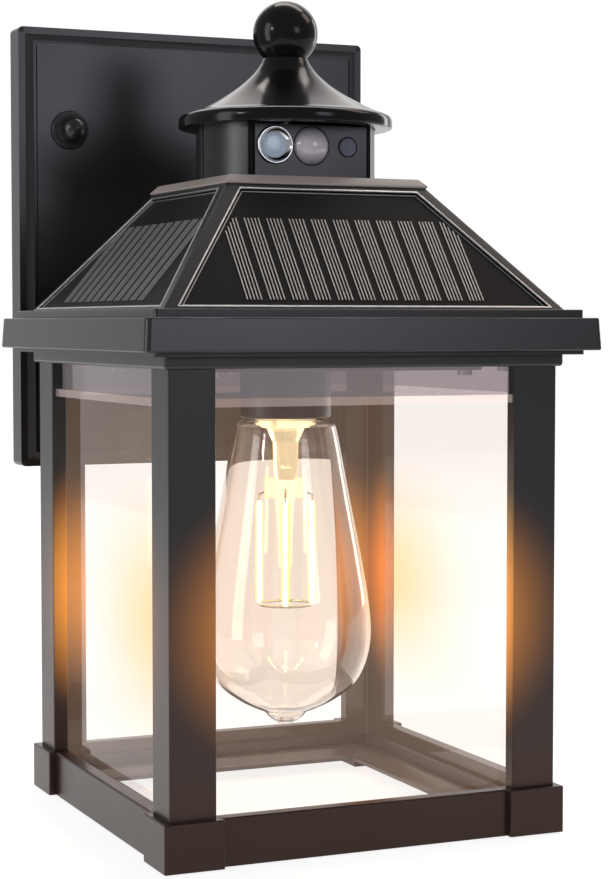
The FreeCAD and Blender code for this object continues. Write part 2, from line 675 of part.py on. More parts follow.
# ---- cap ----------------------------------------------------------------------------------------
def cone_cap():
    """The flared cap: a concave skirt over a rounded rim, hollow underneath."""
    neck, waist, skirt = (CAP_NECK_R, CAP_TOP_Z), (18.2, 269.2), (36.4, 259.6)
    shoulder, brim = (38.8, 258.5), (CAP_R, CAP_RIM_Z)

    def point(pair):
        return Vector(pair[0], 0, pair[1])

    def line(first, second):
        return Part.LineSegment(point(first), point(second)).toShape()

    edges = [
        line((0, CAP_TOP_Z), neck),
        Part.Arc(point(neck), point(waist), point(skirt)).toShape(),
        Part.Arc(point(skirt), point(shoulder), point(brim)).toShape(),
        line(brim, (CAP_R, CAP_LOW_Z + 0.6)),
        line((CAP_R, CAP_LOW_Z + 0.6), (CAP_R - 0.6, CAP_LOW_Z)),
        line((CAP_R - 0.6, CAP_LOW_Z), (0, CAP_LOW_Z)),
        line((0, CAP_LOW_Z), (0, CAP_TOP_Z)),
    ]
    body = Part.Face(Part.Wire(edges)).revolve(Vector(0, 0, 0), Vector(0, 0, 1), 360)
    seat = disc(TURRET_R + 0.2, CAP_LOW_Z, TURRET_TOP_Z)
    hollow = turned([(0, TURRET_TOP_Z), (31.0, TURRET_TOP_Z), (13.0, 266.0), (5.5, 273.0), (0, 273.0)])
    return body.cut([seat, hollow, disc(M4_HOLE_R, 270.0, CAP_TOP_Z)])


def finial():
    """The ball on top, threaded on the tie rod."""
    ball = Part.makeSphere(BALL_R, Vector(0, 0, BALL_Z))
    ball = ball.common(slab(20, CAP_TOP_Z, BALL_Z + BALL_R))
    return ball.cut(disc(M4_HOLE_R, CAP_TOP_Z, TIE_ROD_TOP_Z + 0.5))


TIE_ROD_LOW_Z, TIE_ROD_TOP_Z = 226.5, 288.0
TIE_NUT_LOW_Z = 228.6


def tie_nut():
    """The hexagon nut under the roof's top plate."""
    return hexagon(7.0, TIE_NUT_LOW_Z, ROOF_TOP_Z - 1.6).cut(disc(M4_HOLE_R, TIE_NUT_LOW_Z, ROOF_TOP_Z))


# ---- power --------------------------------------------------------------------------------------
BATTERY_R, BATTERY_HALF_L = 9.2, 32.6
BATTERY_Y, BATTERY_Z = 57.6, TRAY_FLOOR_Z + 11.4


def battery_cell():
    """One 18650 cell, lying along X, with its raised positive cap."""
    left, right = Vector(-BATTERY_HALF_L, BATTERY_Y, BATTERY_Z), Vector(BATTERY_HALF_L, BATTERY_Y, BATTERY_Z)
    can = Part.makeCylinder(BATTERY_R, 2 * BATTERY_HALF_L, left, Vector(1, 0, 0))
    return joined(can, Part.makeCylinder(3.0, 1.2, right, Vector(1, 0, 0)))


def battery_holder():
    """The open plastic cradle for the cell, on the tray's floor."""
    def trough(half_length, half_width, low):
        return box((-half_length, half_length), (BATTERY_Y - half_width, BATTERY_Y + half_width),
                   (TRAY_FLOOR_Z + low, TRAY_FLOOR_Z + 14.0))
    return trough(38.5, 10.8, 0).cut(trough(35.0, 9.4, 2.0))


BOARD_X = (-73.0, -47.0)
BOARD_Z = TRAY_FLOOR_Z + 3.0


def control_board():
    """The charge and lamp driver board on four stand-offs, with its larger components."""
    board = box(BOARD_X, (-30, 30), (BOARD_Z, BOARD_Z + 1.6))
    top = BOARD_Z + 1.6
    bits = [disc(2.5, TRAY_FLOOR_Z, BOARD_Z, x, y) for x in (-70.0, -50.0) for y in (-26.0, 26.0)]
    bits += [box((-66, -58), (-8, 2), (top, top + 2.0)), box((-56, -50), (12, 20), (top, top + 6.0)),
             disc(3.2, top, top + 8.0, -66, 18), disc(3.2, top, top + 8.0, -66, -19)]
    return joined(board, *bits)


WIRE_R = 0.8
LAMP_LEAD_XY = (-8.0, -6.0)


def wire(points, radius):
    """A round wire along straight runs joined by arcs that meet them smoothly."""
    edges = []
    start = Vector(*points[0])
    for before, corner, after in zip(points, points[1:], points[2:]):
        corner_v = Vector(*corner)
        back = Vector(*before).sub(corner_v).normalize()
        ahead = Vector(*after).sub(corner_v).normalize()
        half_turn = (math.pi - back.getAngle(ahead)) / 2
        setback = radius * math.tan(half_turn)
        enter = corner_v.add(Vector(back).multiply(setback))
        leave = corner_v.add(Vector(ahead).multiply(setback))
        bisector = back.add(ahead).normalize()
        middle = corner_v.add(Vector(bisector).multiply(radius / math.cos(half_turn) - radius))
        edges.append(Part.LineSegment(start, enter).toShape())
        edges.append(Part.Arc(enter, middle, leave).toShape())
        start = leave
    edges.append(Part.LineSegment(start, Vector(*points[-1])).toShape())
    path = Part.Wire(edges)
    along = Vector(*points[1]).sub(Vector(*points[0]))
    ring = Part.Wire(Part.makeCircle(WIRE_R, Vector(*points[0]), along))
    return path.makePipeShell([ring], True, False)


def wiring():
    """Leads from the board: to the lampholder, to the battery and up to the sensors."""
    top = BOARD_Z + 1.6
    lamp_x, lamp_y = LAMP_LEAD_XY
    lamp = wire([(-54, lamp_y, top), (-54, lamp_y, top + 12), (lamp_x, lamp_y, top + 12),
                 (lamp_x, lamp_y, HOLDER_TOP_Z - 2.0)], 4.0)
    cell = wire([(-54, 26, top), (-54, 26, top + 16), (-54, BATTERY_Y, top + 16),
                 (-54, BATTERY_Y, BATTERY_Z), (-38.5, BATTERY_Y, BATTERY_Z)], 5.0)
    sensor = wire([(-52, -20, top), (-52, -20, top + 20), (WIRE_PORT_X, 0, top + 20),
                   (WIRE_PORT_X, 0, 242.0), (WIRE_PORT_X, -BOARD_Y + 1.6, 242.0)], 5.0)
    return [lamp, cell, sensor]


# ---- lampholder and bulb ------------------------------------------------------------------------
HOLDER_TOP_Z = 178.0
HOLDER_BORE_R = 13.9
HOLDER_SCREW_X = 20.2
HOLDER_FLANGE_R = 23.0
SOCKET_SHELL_R = 13.5       # inside of the brass thread shell


def lampholder():
    """The black holder through the ceiling plate: open mouth below, closed top with a wire hole."""
    body = disc(HOLDER_R, HOLDER_LOW_Z, HOLDER_TOP_Z)
    body = softened(body, 0.8, level_at(HOLDER_LOW_Z))
    flange = disc(HOLDER_FLANGE_R, CORNICE_Z, CORNICE_Z + 2.0)
    body = joined(body, flange).cut(disc(HOLDER_BORE_R, HOLDER_LOW_Z, HOLDER_TOP_Z - 2.5))
    drills = [disc(SCREW_HOLE_R, CORNICE_Z, CORNICE_Z + 2.0, side * HOLDER_SCREW_X, 0) for side in (-1, 1)]
    drills.append(disc(WIRE_R + 0.2, HOLDER_TOP_Z - 2.5, HOLDER_TOP_Z, *LAMP_LEAD_XY))
    return body.cut(drills)


def socket_shell():
    """The brass thread shell inside the holder, drawn smooth."""
    tube = disc(HOLDER_BORE_R - 0.05, HOLDER_LOW_Z + 2.0, 162.0)
    return tube.cut(disc(SOCKET_SHELL_R, HOLDER_LOW_Z + 2.0, 162.0))


CONTACT_TIP_Z = 172.0


def socket_contact():
    """The sprung brass tongue above the bulb's centre contact."""
    tongue = box((-2.5, 9.0), (-3.0, 3.0), (CONTACT_TIP_Z + 0.3, CONTACT_TIP_Z + 0.8))
    root = box((8.4, 9.0), (-3.0, 3.0), (CONTACT_TIP_Z + 0.3, HOLDER_TOP_Z - 2.5))
    return joined(tongue, root)


GLASS_OUTLINE = [(8.4, 36.0), (18.2, 41.6), (26.0, 47.8), (30.4, 55.8), (BULB_R, 65.0), (30.9, 78.3),
                 (28.0, 96.0), (24.2, 116.0), (21.1, 132.0), (19.0, 142.0), (17.0, 145.4),
                 (BASE_R - 0.2, BULB_NECK_Z)]


def glass_body(inset):
    """The solid inside the envelope's outline, this much smaller."""
    curve = Part.BSplineCurve()
    points = [(0.0, BULB_TIP_Z + 1.4)] + GLASS_OUTLINE[:]
    middle_z = BULB_TIP_Z + BULB_R
    shrunk = []
    for radius, z in points:
        length = math.hypot(radius, z - middle_z)
        up = (z - middle_z) / length if z < middle_z else 0.0
        across = radius / length if z < middle_z else 1.0
        shrunk.append(Vector(max(radius - inset * across, 0.0), 0, z - inset * up))
    shrunk[-1] = Vector(GLASS_OUTLINE[-1][0] - inset, 0, BULB_NECK_Z)
    curve.interpolate(shrunk)
    edges = [curve.toShape(),
             Part.LineSegment(shrunk[-1], Vector(0, 0, BULB_NECK_Z)).toShape(),
             Part.LineSegment(Vector(0, 0, BULB_NECK_Z), shrunk[0]).toShape()]
    return Part.Face(Part.Wire(edges)).revolve(Vector(0, 0, 0), Vector(0, 0, 1), 360)


def bulb_envelope():
    """The clear pear-shaped glass with its sealed tip."""
    tip = turned([(0, BULB_TIP_Z), (2.0, BULB_TIP_Z + 0.3), (4.2, BULB_TIP_Z + 1.5), (5.6, BULB_TIP_Z + 2.8),
                  (0, BULB_TIP_Z + 2.8)])
    return joined(glass_body(0.0), tip).cut(glass_body(BULB_GLASS_T))


def bulb_base():
    """The E26 shell, its thread drawn as rings."""
    low, pitch = BULB_NECK_Z, THREAD_PITCH
    outline = [(11.6, low), (BASE_R, low), (BASE_R, low + 2.2)]
    steps = 6
    rings = 4
    for ring in range(rings):
        for step in range(steps):
            z = low + 3.0 + (ring + step / steps) * pitch
            outline.append((12.75 + 0.4 * math.cos(2 * math.pi * (step / steps - 0.5)), z))
    outline += [(12.35, BASE_TOP_Z), (11.6, BASE_TOP_Z)]
    return turned(outline)


def bulb_insulator():
    """The black glass cone above the shell."""
    return turned([(5.0, BASE_TOP_Z), (12.3, BASE_TOP_Z), (6.4, 170.8), (5.0, 170.8)])


def bulb_contact():
    """The button on the bulb's top, in the middle of the insulator."""
    return turned([(0, BASE_TOP_Z + 1.0), (4.9, BASE_TOP_Z + 1.0), (4.9, 170.9), (4.2, CONTACT_TIP_Z - 0.2),
                   (2.0, CONTACT_TIP_Z), (0, CONTACT_TIP_Z)])


STEM_LOW_Z = 117.0


def bulb_stem():
    """The flared glass stem, drawn in to a flat pinch at its foot."""
    tube = turned([(0, 124.0), (4.0, 124.0), (4.6, 128.0), (4.9, 138.0), (7.5, 144.0), (11.4, 146.4),
                   (11.4, BULB_NECK_Z), (0, BULB_NECK_Z)])
    pinch = box((-8.0, 8.0), (-1.9, 1.9), (STEM_LOW_Z, 124.6))
    pinch = softened(pinch, 1.2, stands)
    return joined(tube, spun(pinch, FILAMENT_TURN))


FILAMENT_COUNT = 4
FILAMENT_RING_R = 9.8
FILAMENT_TURN = -23.7
FILAMENT_LOW_Z, FILAMENT_HIGH_Z = 77.5, 116.0
FILAMENT_HALF = 0.9


def filament_places():
    angles = [math.radians(FILAMENT_TURN + 360 * k / FILAMENT_COUNT) for k in range(FILAMENT_COUNT)]
    return [(FILAMENT_RING_R * math.cos(angle), FILAMENT_RING_R * math.sin(angle)) for angle in angles]


def filaments():
    """Four upright light-emitting rods."""
    return [disc(FILAMENT_HALF, FILAMENT_LOW_Z, FILAMENT_HIGH_Z, x, y) for x, y in filament_places()]


def filament_supports():
    """A wire ring under the rods and four arms from the stem to their upper ends."""
    support_r = 0.45
    ring = Part.makeTorus(FILAMENT_RING_R, support_r, Vector(0, 0, FILAMENT_LOW_Z - support_r))
    arms = []
    for k, (x, y) in enumerate(filament_places()):
        foot = Vector(x, y, FILAMENT_HIGH_Z)
        knee = Vector(x, y, FILAMENT_HIGH_Z + 2.2)
        inner = Vector(x * 0.55, y * 0.55, STEM_LOW_Z + 3.0)
        if k % 2:
            inner = Vector(x * 0.19, y * 0.19, STEM_LOW_Z + 3.0)
        rise = Part.makeCylinder(support_r, 2.2, foot, Vector(0, 0, 1))
        run = inner.sub(knee)
        arm_piece = Part.makeCylinder(support_r, run.Length, knee, run)
        arms.append(joined(rise, arm_piece, Part.makeSphere(support_r, knee)).cut(bulb_stem()))
    return [ring] + arms


# ---- all the files ------------------------------------------------------------------------------
CORNERS = {"front_left": (-1, -1), "front_right": (1, -1), "rear_left": (-1, 1), "rear_right": (1, 1)}
SIDES = {"front": 0, "right": 90, "rear": 180, "left": 270}


def write_wall_side():
    part_file("backplate", backplate())
    part_file("crossbar", crossbar())
    part_file("mounting_studs", mounting_stud(-STUD_X), mounting_stud(STUD_X))
    part_file("cap_nuts", cap_nut(-STUD_X), cap_nut(STUD_X))
    part_file("arm", arm())
    part_file("arm_screws", *arm_screws())


def write_cage():
    lantern_file("corner_blocks", *[corner_block(sx, sy) for sx, sy in CORNERS.values()])
    for side, turn in SIDES.items():
        lantern_file("base_rail_" + side, spun(base_rail(), turn))
        half_width = PANE_IN - PANE_GAP if turn % 180 == 0 else PANE_OUT
        lantern_file("pane_" + side, spun(pane(half_width), turn))
    pins = [rail_pin(sx, sy, along, PIN_R) for sx, sy in CORNERS.values() for along in ((1, 0), (0, 1))]
    lantern_file("rail_pins", *pins)
    lantern_file("base_liner", base_liner())
    for corner, (sx, sy) in CORNERS.items():
        lantern_file("post_" + corner, post(sx, sy))
    lantern_file("post_screws", *post_screws())
    lantern_file("head_rails", *four_sides(head_rail()))


def write_head():
    lantern_file("tray", tray())
    lantern_file("ceiling_plate", ceiling_plate())
    lantern_file("pan_screws", *pan_screws())
    lantern_file("roof_shell", roof_shell())
    lantern_file("roof_screws", *roof_screws())
    lantern_file("solar_panels", *[solar_panel(turn) for turn in PANEL_TURNS])
    lantern_file("panel_frames", *[panel_frame(turn) for turn in PANEL_TURNS])
    cells = [cell for turn in PANEL_TURNS for cell in solar_cells(turn)]
    lantern_file("solar_cells", *cells)
    lantern_file("battery_cell", battery_cell())
    lantern_file("battery_holder", battery_holder())
    lantern_file("control_board", control_board())
    lantern_file("wiring", *wiring())


def write_turret():
    lantern_file("turret_front", turret_front())
    lantern_file("turret_rear", turret_rear())
    lantern_file("sensor_panel", sensor_panel())
    lantern_file("sensor_board", sensor_board())
    lantern_file("photocell_bezel", photocell_bezel())
    lantern_file("photocell_window", photocell_window())
    lantern_file("photocell", photocell())
    lantern_file("pir_lens", pir_lens())
    lantern_file("pir_sensor", pir_sensor())
    lantern_file("tact_switch", tact_switch())
    lantern_file("mode_button", mode_button())
    lantern_file("cone_cap", cone_cap())
    lantern_file("finial", finial())
    lantern_file("tie_rod", disc(M4_R, TIE_ROD_LOW_Z, TIE_ROD_TOP_Z))
    lantern_file("tie_nut", tie_nut())


def write_lamp():
    lantern_file("lampholder", lampholder())
    lantern_file("socket_shell", socket_shell())
    lantern_file("socket_contact", socket_contact())
    lantern_file("bulb_envelope", bulb_envelope())
    lantern_file("bulb_base", bulb_base())
    lantern_file("bulb_insulator", bulb_insulator())
    lantern_file("bulb_contact", bulb_contact())
    lantern_file("bulb_stem", bulb_stem())
    lantern_file("filaments", *filaments())
    lantern_file("filament_supports", *filament_supports())


os.makedirs("parts", exist_ok=True)
write_wall_side()
write_cage()
write_head()
write_turret()
write_lamp()
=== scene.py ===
"""Looks for the solar wall lantern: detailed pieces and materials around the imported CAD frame.

Lengths in the drawing functions are millimetres in the lantern's own frame: x and y from its
vertical axis, z from its foot. mm() carries them to the row frame, in metres.
"""

import json
import math

import bmesh
import bpy
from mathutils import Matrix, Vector


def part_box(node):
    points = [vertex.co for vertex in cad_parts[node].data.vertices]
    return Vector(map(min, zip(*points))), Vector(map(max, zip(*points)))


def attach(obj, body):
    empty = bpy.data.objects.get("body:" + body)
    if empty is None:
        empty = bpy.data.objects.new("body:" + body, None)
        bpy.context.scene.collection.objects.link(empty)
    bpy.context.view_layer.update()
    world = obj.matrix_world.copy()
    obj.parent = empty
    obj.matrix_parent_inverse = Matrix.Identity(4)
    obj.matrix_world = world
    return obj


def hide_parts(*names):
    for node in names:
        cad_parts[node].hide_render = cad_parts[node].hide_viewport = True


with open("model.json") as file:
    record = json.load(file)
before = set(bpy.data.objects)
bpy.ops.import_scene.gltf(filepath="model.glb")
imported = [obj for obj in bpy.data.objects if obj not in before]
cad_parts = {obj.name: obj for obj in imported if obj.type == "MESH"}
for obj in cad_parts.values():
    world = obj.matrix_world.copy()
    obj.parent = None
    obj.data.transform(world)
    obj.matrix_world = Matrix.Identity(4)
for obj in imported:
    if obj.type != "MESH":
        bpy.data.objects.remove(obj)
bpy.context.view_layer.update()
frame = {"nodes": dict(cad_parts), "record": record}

# ---- where the lantern is, and its driving dimensions -------------------------------------------
AXIS_Y = -105.0
FOOT_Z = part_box("corner_blocks")[0].z * 1000

PANE_IN = 65.6
STRIP_BEAD_Z = 157.2
ROOF_Z, ROOF_LOW, ROOF_HIGH, ROOF_TOP_Z = 187.1, 75.4, 36.4, 233.9
SLOPE = math.atan2(ROOF_TOP_Z - ROOF_Z, ROOF_LOW - ROOF_HIGH)
PANEL_TURNS = (0, 90, -90)
RECESS_LOW_X, RECESS_LOW_S = 70.4, 0.9
RECESS_HIGH_X, RECESS_HIGH_S = 34.4, 55.2
TURRET_R, TURRET_WALL, TURRET_TOP_Z = 33.1, 2.2, 255.4
FLAT_Y, FLAT_HALF = 23.8, 22.8
FLAT_FORWARD = FLAT_Y - AXIS_Y
SEAM_TURN, FLAT_GAP_TURN = 2.0, 3.2
SENSOR_X, SENSOR_Z = 14.4, 246.2
CAP_LOW_Z, CAP_TOP_Z = 253.9, 280.0
BALL_R, BALL_Z = 12.0, 289.2
NUT_X, NUT_SEAT = 54.5, 13.2
BULB_NECK_Z, BULB_WALL = 147.3, 0.8
FILAMENT_TURN, FILAMENT_RING_R = -23.7, 9.8
FILAMENT_LOW_Z, FILAMENT_HIGH_Z = 77.55, 115.95


def mm(x, y, z):
    """A point of the lantern's own frame, in the row frame."""
    return Vector((x, y + AXIS_Y, z + FOOT_Z)) / 1000


MIDDLE = mm(0, 0, 150)
LAMP = mm(0, 0, 96)
# Centre of the painted glow of lamp light on the coat and the side panes.
PAINTED_GLOW_CENTRE = mm(0, 0, 80)
WARM = (1.0, 0.55, 0.2)
# Colour of the lamp light painted on the coat as emission.
PAINTED_SPILL_COLOUR = (1.15, 0.4, 0.05)
WHITE = (1, 1, 1, 1)


# ---- node helpers -------------------------------------------------------------------------------
def new_material(name):
    material = bpy.data.materials.new(name)
    material.use_nodes = True
    tree = material.node_tree
    tree.nodes.clear()
    out = tree.nodes.new("ShaderNodeOutputMaterial")
    return material, tree, out


def node(tree, kind, **values):
    """Adds a node; the names of values are its sockets or settings."""
    made = tree.nodes.new("ShaderNode" + kind)
    for name, value in values.items():
        label = name.replace("_", " ")
        if label in made.inputs:
            made.inputs[label].default_value = value
        else:
            setattr(made, name, value)
    return made


def feed(tree, source, socket):
    """Links an output to a socket, or sets a plain value on it."""
    if isinstance(source, bpy.types.NodeSocket):
        tree.links.new(source, socket)
    else:
        socket.default_value = source


def maths(tree, operation, first, second=0.0):
    """A number worked out from one or two numbers."""
    made = node(tree, "Math", operation=operation)
    feed(tree, first, made.inputs[0])
    feed(tree, second, made.inputs[1])
    return made.outputs["Value"]


def vector_maths(tree, operation, first, second=(0.0, 0.0, 0.0)):
    """A vector worked out from one or two, or a number for LENGTH and DOT_PRODUCT."""
    made = node(tree, "VectorMath", operation=operation)
    feed(tree, first, made.inputs[0])
    feed(tree, second, made.inputs[1])
    return made.outputs["Value" if operation in ("LENGTH", "DOT_PRODUCT") else "Vector"]


def place(tree):
    """The point being shaded, in the object's own space, which is the row frame in metres."""
    return node(tree, "TexCoord").outputs["Object"]


def along(tree, vector, axis):
    """The X, Y or Z of a vector."""
    made = node(tree, "SeparateXYZ")
    feed(tree, vector, made.inputs["Vector"])
    return made.outputs[axis]


def spread(tree, factor, low, high, start=0.0, end=1.0, curve="LINEAR"):
    """Maps start..end to low..high, and stays within them."""
    made = node(tree, "MapRange", interpolation_type=curve)
    for name, value in (("From Min", start), ("From Max", end), ("To Min", low), ("To Max", high)):
        made.inputs[name].default_value = value
    feed(tree, factor, made.inputs["Value"])
    return made.outputs["Result"]


def noise(tree, scale, detail=3.0):
    """Noise in the object's own space."""
    made = node(tree, "TexNoise", Scale=scale, Detail=detail)
    feed(tree, place(tree), made.inputs["Vector"])
    return made.outputs["Fac"]


def ramp(tree, factor, *stops):
    """A colour ramp of (position, colour) stops."""
    made = tree.nodes.new("ShaderNodeValToRGB")
    elements = made.color_ramp.elements
    while len(elements) < len(stops):
        elements.new(0.5)
    for element, (position, colour) in zip(elements, stops):
        element.position = position
        element.color = (*colour, 1.0)
    feed(tree, factor, made.inputs["Fac"])
    return made.outputs["Color"]


def uneven(tree, scale, low, high):
    """A number that wanders between low and high."""
    return spread(tree, noise(tree, scale), low, high)


def mottle(tree, scale, colour, dull, low=0.3):
    """A colour that drifts down to dull times itself."""
    return ramp(tree, noise(tree, scale), (low, tuple(dull * part for part in colour)), (1 - low, colour))


def mix_colours(tree, factor, first, second, blend="MIX"):
    """The first colour where factor is 0, the second laid over it where it is 1."""
    made = node(tree, "Mix", data_type="RGBA", blend_type=blend)
    feed(tree, factor, made.inputs["Factor"])
    feed(tree, first, made.inputs["A"])
    feed(tree, second, made.inputs["B"])
    return made.outputs["Result"]


def bump(tree, height, strength, distance):
    made = node(tree, "Bump", Strength=strength, Distance=distance)
    feed(tree, height, made.inputs["Height"])
    return made.outputs["Normal"]


def mix_shaders(tree, factor, first, second):
    """The first shader where factor is 0, the second where it is 1."""
    made = node(tree, "MixShader")
    for source, socket in zip((factor, first, second), made.inputs):
        feed(tree, source, socket)
    return made.outputs["Shader"]


def add_shaders(tree, first, second):
    made = node(tree, "AddShader")
    feed(tree, first, made.inputs[0])
    feed(tree, second, made.inputs[1])
    return made.outputs["Shader"]


def glossy_skin(tree, under, roughness):
    """Gloss over a shader, stronger at a glancing angle."""
    shine = node(tree, "BsdfGlossy", Roughness=roughness)
    fresnel = node(tree, "Fresnel", IOR=1.45)
    return mix_shaders(tree, fresnel.outputs["Fac"], under, shine.outputs["BSDF"])


def front_face_only(tree, out, front):
    """Gives this shader to front faces, and leaves back faces plainly see-through."""
    plain = node(tree, "BsdfTransparent", Color=WHITE)
    back = node(tree, "NewGeometry").outputs["Backfacing"]
    feed(tree, mix_shaders(tree, back, front, plain.outputs["BSDF"]), out.inputs["Surface"])


def height_share(tree, low, high):
    """0 at low and 1 at high, in millimetres above the foot."""
    height = along(tree, place(tree), "Z")
    return spread(tree, height, 0.0, 1.0, (FOOT_Z + low) / 1000, (FOOT_Z + high) / 1000)


# ---- the lamp's light on its surroundings -------------------------------------------------------
def painted_lamp_spill(tree):
    """The lamp's warm light, painted on the coat as emission: 1 within near metres of the glow's centre,
    falling to 0 at far.

    It is weaker on the outer left faces, and stronger on faces turned to the lamp.
    """
    near, far, power = 0.078, 0.112, 2.2
    here = place(tree)
    from_lamp = vector_maths(tree, "SUBTRACT", here, PAINTED_GLOW_CENTRE)
    flattened = vector_maths(tree, "MULTIPLY", from_lamp, (1.0, 1.0, 1.35))
    away = vector_maths(tree, "LENGTH", flattened)
    fall = maths(tree, "POWER", spread(tree, away, 0.0, 1.0, far, near), power)
    normal = node(tree, "NewGeometry").outputs["True Normal"]
    left_share = spread(tree, along(tree, normal, "X"), 0.3, 1.0, -1.0, -0.3)
    right_of_left_posts = maths(tree, "GREATER_THAN", along(tree, here, "X"), -PANE_IN / 1000)
    side_share = maths(tree, "MAXIMUM", left_share, right_of_left_posts)
    turned_away = vector_maths(tree, "DOT_PRODUCT", normal, from_lamp)
    inner_gain = spread(tree, turned_away, 1.7, 1.0, -0.04, 0.0)
    return maths(tree, "MULTIPLY", maths(tree, "MULTIPLY", fall, side_share), inner_gain)


def painted_edge_glow(tree):
    """A painted yellow glow of lamp light: grows towards one upright edge of each side pane, at the lamp's
    height.
    """
    from_lamp = vector_maths(tree, "SUBTRACT", place(tree), PAINTED_GLOW_CENTRE)
    x, y, z = [along(tree, from_lamp, axis) for axis in "XYZ"]
    near_edge = spread(tree, maths(tree, "MULTIPLY", x, y), 0.0, 1.0, -0.0028, 0.004, "SMOOTHSTEP")
    level = spread(tree, maths(tree, "ABSOLUTE", z), 0.0, 1.0, 0.056, 0.0, "SMOOTHSTEP")
    in_side_pane = maths(tree, "GREATER_THAN", maths(tree, "ABSOLUTE", x), (PANE_IN - 0.2) / 1000)
    return maths(tree, "MULTIPLY", maths(tree, "MULTIPLY", near_edge, level), in_side_pane)


# ---- materials ----------------------------------------------------------------------------------
def coat_material(name, tone, roughness, lit=True, shine=0.5):
    """Satin powder coat. A lit one has painted lamp light: it is browner towards the foot, with warmer
    reflections there, and the lamp's warm light is painted on as emission.
    """
    material, tree, out = new_material(name)
    shader = node(tree, "BsdfPrincipled", IOR=1.5, Specular_IOR_Level=shine)
    cool = (tone, tone * 0.99, tone * 1.08)
    # Painted warm lamp light: the coat is browner towards the foot.
    painted_warm_foot = (tone * 1.7, tone * 1.05, tone * 0.85) if lit else cool
    share = height_share(tree, 5, 165)
    colour = mix_colours(tree, 1.0, ramp(tree, share, (0.0, painted_warm_foot), (1.0, cool)),
                         mottle(tree, 60.0, (1, 1, 1), 0.88), "MULTIPLY")
    feed(tree, colour, shader.inputs["Base Color"])
    feed(tree, uneven(tree, 25.0, roughness - 0.03, roughness + 0.03), shader.inputs["Roughness"])
    feed(tree, bump(tree, noise(tree, 900.0, 2.0), 0.03, 0.00003), shader.inputs["Normal"])
    if lit:
        # Painted warm reflections near the foot, and painted lamp light as emission.
        painted_warm_sheen = ramp(tree, share, (0.0, (0.72, 0.5, 0.43)), (0.075, (0.78, 0.54, 0.47)),
                     (0.085, (1.0, 0.7, 0.6)), (0.6, (1, 1, 1)))
        feed(tree, painted_warm_sheen, shader.inputs["Specular Tint"])
        shader.inputs["Emission Color"].default_value = (*PAINTED_SPILL_COLOUR, 1.0)
        feed(tree, painted_lamp_spill(tree), shader.inputs["Emission Strength"])
    feed(tree, shader.outputs["BSDF"], out.inputs["Surface"])
    return material


def metal_material(name, colour, roughness, grain=400.0):
    """Plain metal with a fine grain in its tone and roughness."""
    material, tree, out = new_material(name)
    shader = node(tree, "BsdfPrincipled", Metallic=1.0)
    feed(tree, mottle(tree, grain, colour, 0.88, 0.35), shader.inputs["Base Color"])
    feed(tree, uneven(tree, grain * 2, roughness * 0.8, roughness * 1.25), shader.inputs["Roughness"])
    feed(tree, shader.outputs["BSDF"], out.inputs["Surface"])
    return material


def plastic_material(name, colour, roughness, coat=0.0, shine=0.5):
    """Moulded plastic with a faint mottle."""
    material, tree, out = new_material(name)
    shader = node(tree, "BsdfPrincipled", IOR=1.48, Specular_IOR_Level=shine, Coat_Weight=coat,
                  Coat_Roughness=0.06)
    feed(tree, mottle(tree, 350.0, colour, 0.95), shader.inputs["Base Color"])
    feed(tree, uneven(tree, 700.0, roughness * 0.96, roughness * 1.04), shader.inputs["Roughness"])
    feed(tree, shader.outputs["BSDF"], out.inputs["Surface"])
    return material


def clear_material(name, through_colour, painted_light_colour):
    """Thin clear sheet with a gloss on its outer face and a weak emission over it as a painted misty glow,
    with a painted yellow glow beside the lamp.
    """
    material, tree, out = new_material(name)
    # Painted yellow glow of lamp light at one edge of each side pane.
    glow = painted_edge_glow(tree)
    through = node(tree, "BsdfTransparent")
    colour = mix_colours(tree, glow, mottle(tree, 30.0, through_colour, 0.98), (1.0, 0.66, 0.27, 1.0))
    feed(tree, colour, through.inputs["Color"])
    # Painted light: a weak emission over the clear sheet, stronger in the painted glow.
    painted_light_layer = node(tree, "Emission", Color=(*painted_light_colour, 1.0))
    feed(tree, spread(tree, glow, 1.0, 1.9), painted_light_layer.inputs["Strength"])
    clear_with_painted_light = add_shaders(tree, through.outputs["BSDF"], painted_light_layer.outputs["Emission"])
    front_face_only(tree, out, glossy_skin(tree, clear_with_painted_light, 0.04))
    return material


def strip_material(name):
    """Smoky clear strip whose lower bead is clearer than its upright part, with a weak emission over it as
    painted light, warmer on the bead.
    """
    material, tree, out = new_material(name)
    share = height_share(tree, STRIP_BEAD_Z - 0.1, STRIP_BEAD_Z + 0.1)
    clearness = ramp(tree, share, (0.0, (0.9, 0.86, 0.85)), (1.0, (0.42, 0.39, 0.41)))
    # Colour of the painted light emitted by the strip, warmer on the bead.
    painted_strip_light = ramp(tree, share, (0.0, (0.2, 0.16, 0.15)), (1.0, (0.128, 0.12, 0.13)))
    through = node(tree, "BsdfTransparent")
    feed(tree, clearness, through.inputs["Color"])
    painted_light_layer = node(tree, "Emission")
    feed(tree, painted_strip_light, painted_light_layer.inputs["Color"])
    feed(tree, uneven(tree, 20.0, 0.8, 1.2), painted_light_layer.inputs["Strength"])
    smoke_tint_and_painted_light = add_shaders(tree, through.outputs["BSDF"], painted_light_layer.outputs["Emission"])
    front_face_only(tree, out, glossy_skin(tree, smoke_tint_and_painted_light, 0.08))
    return material


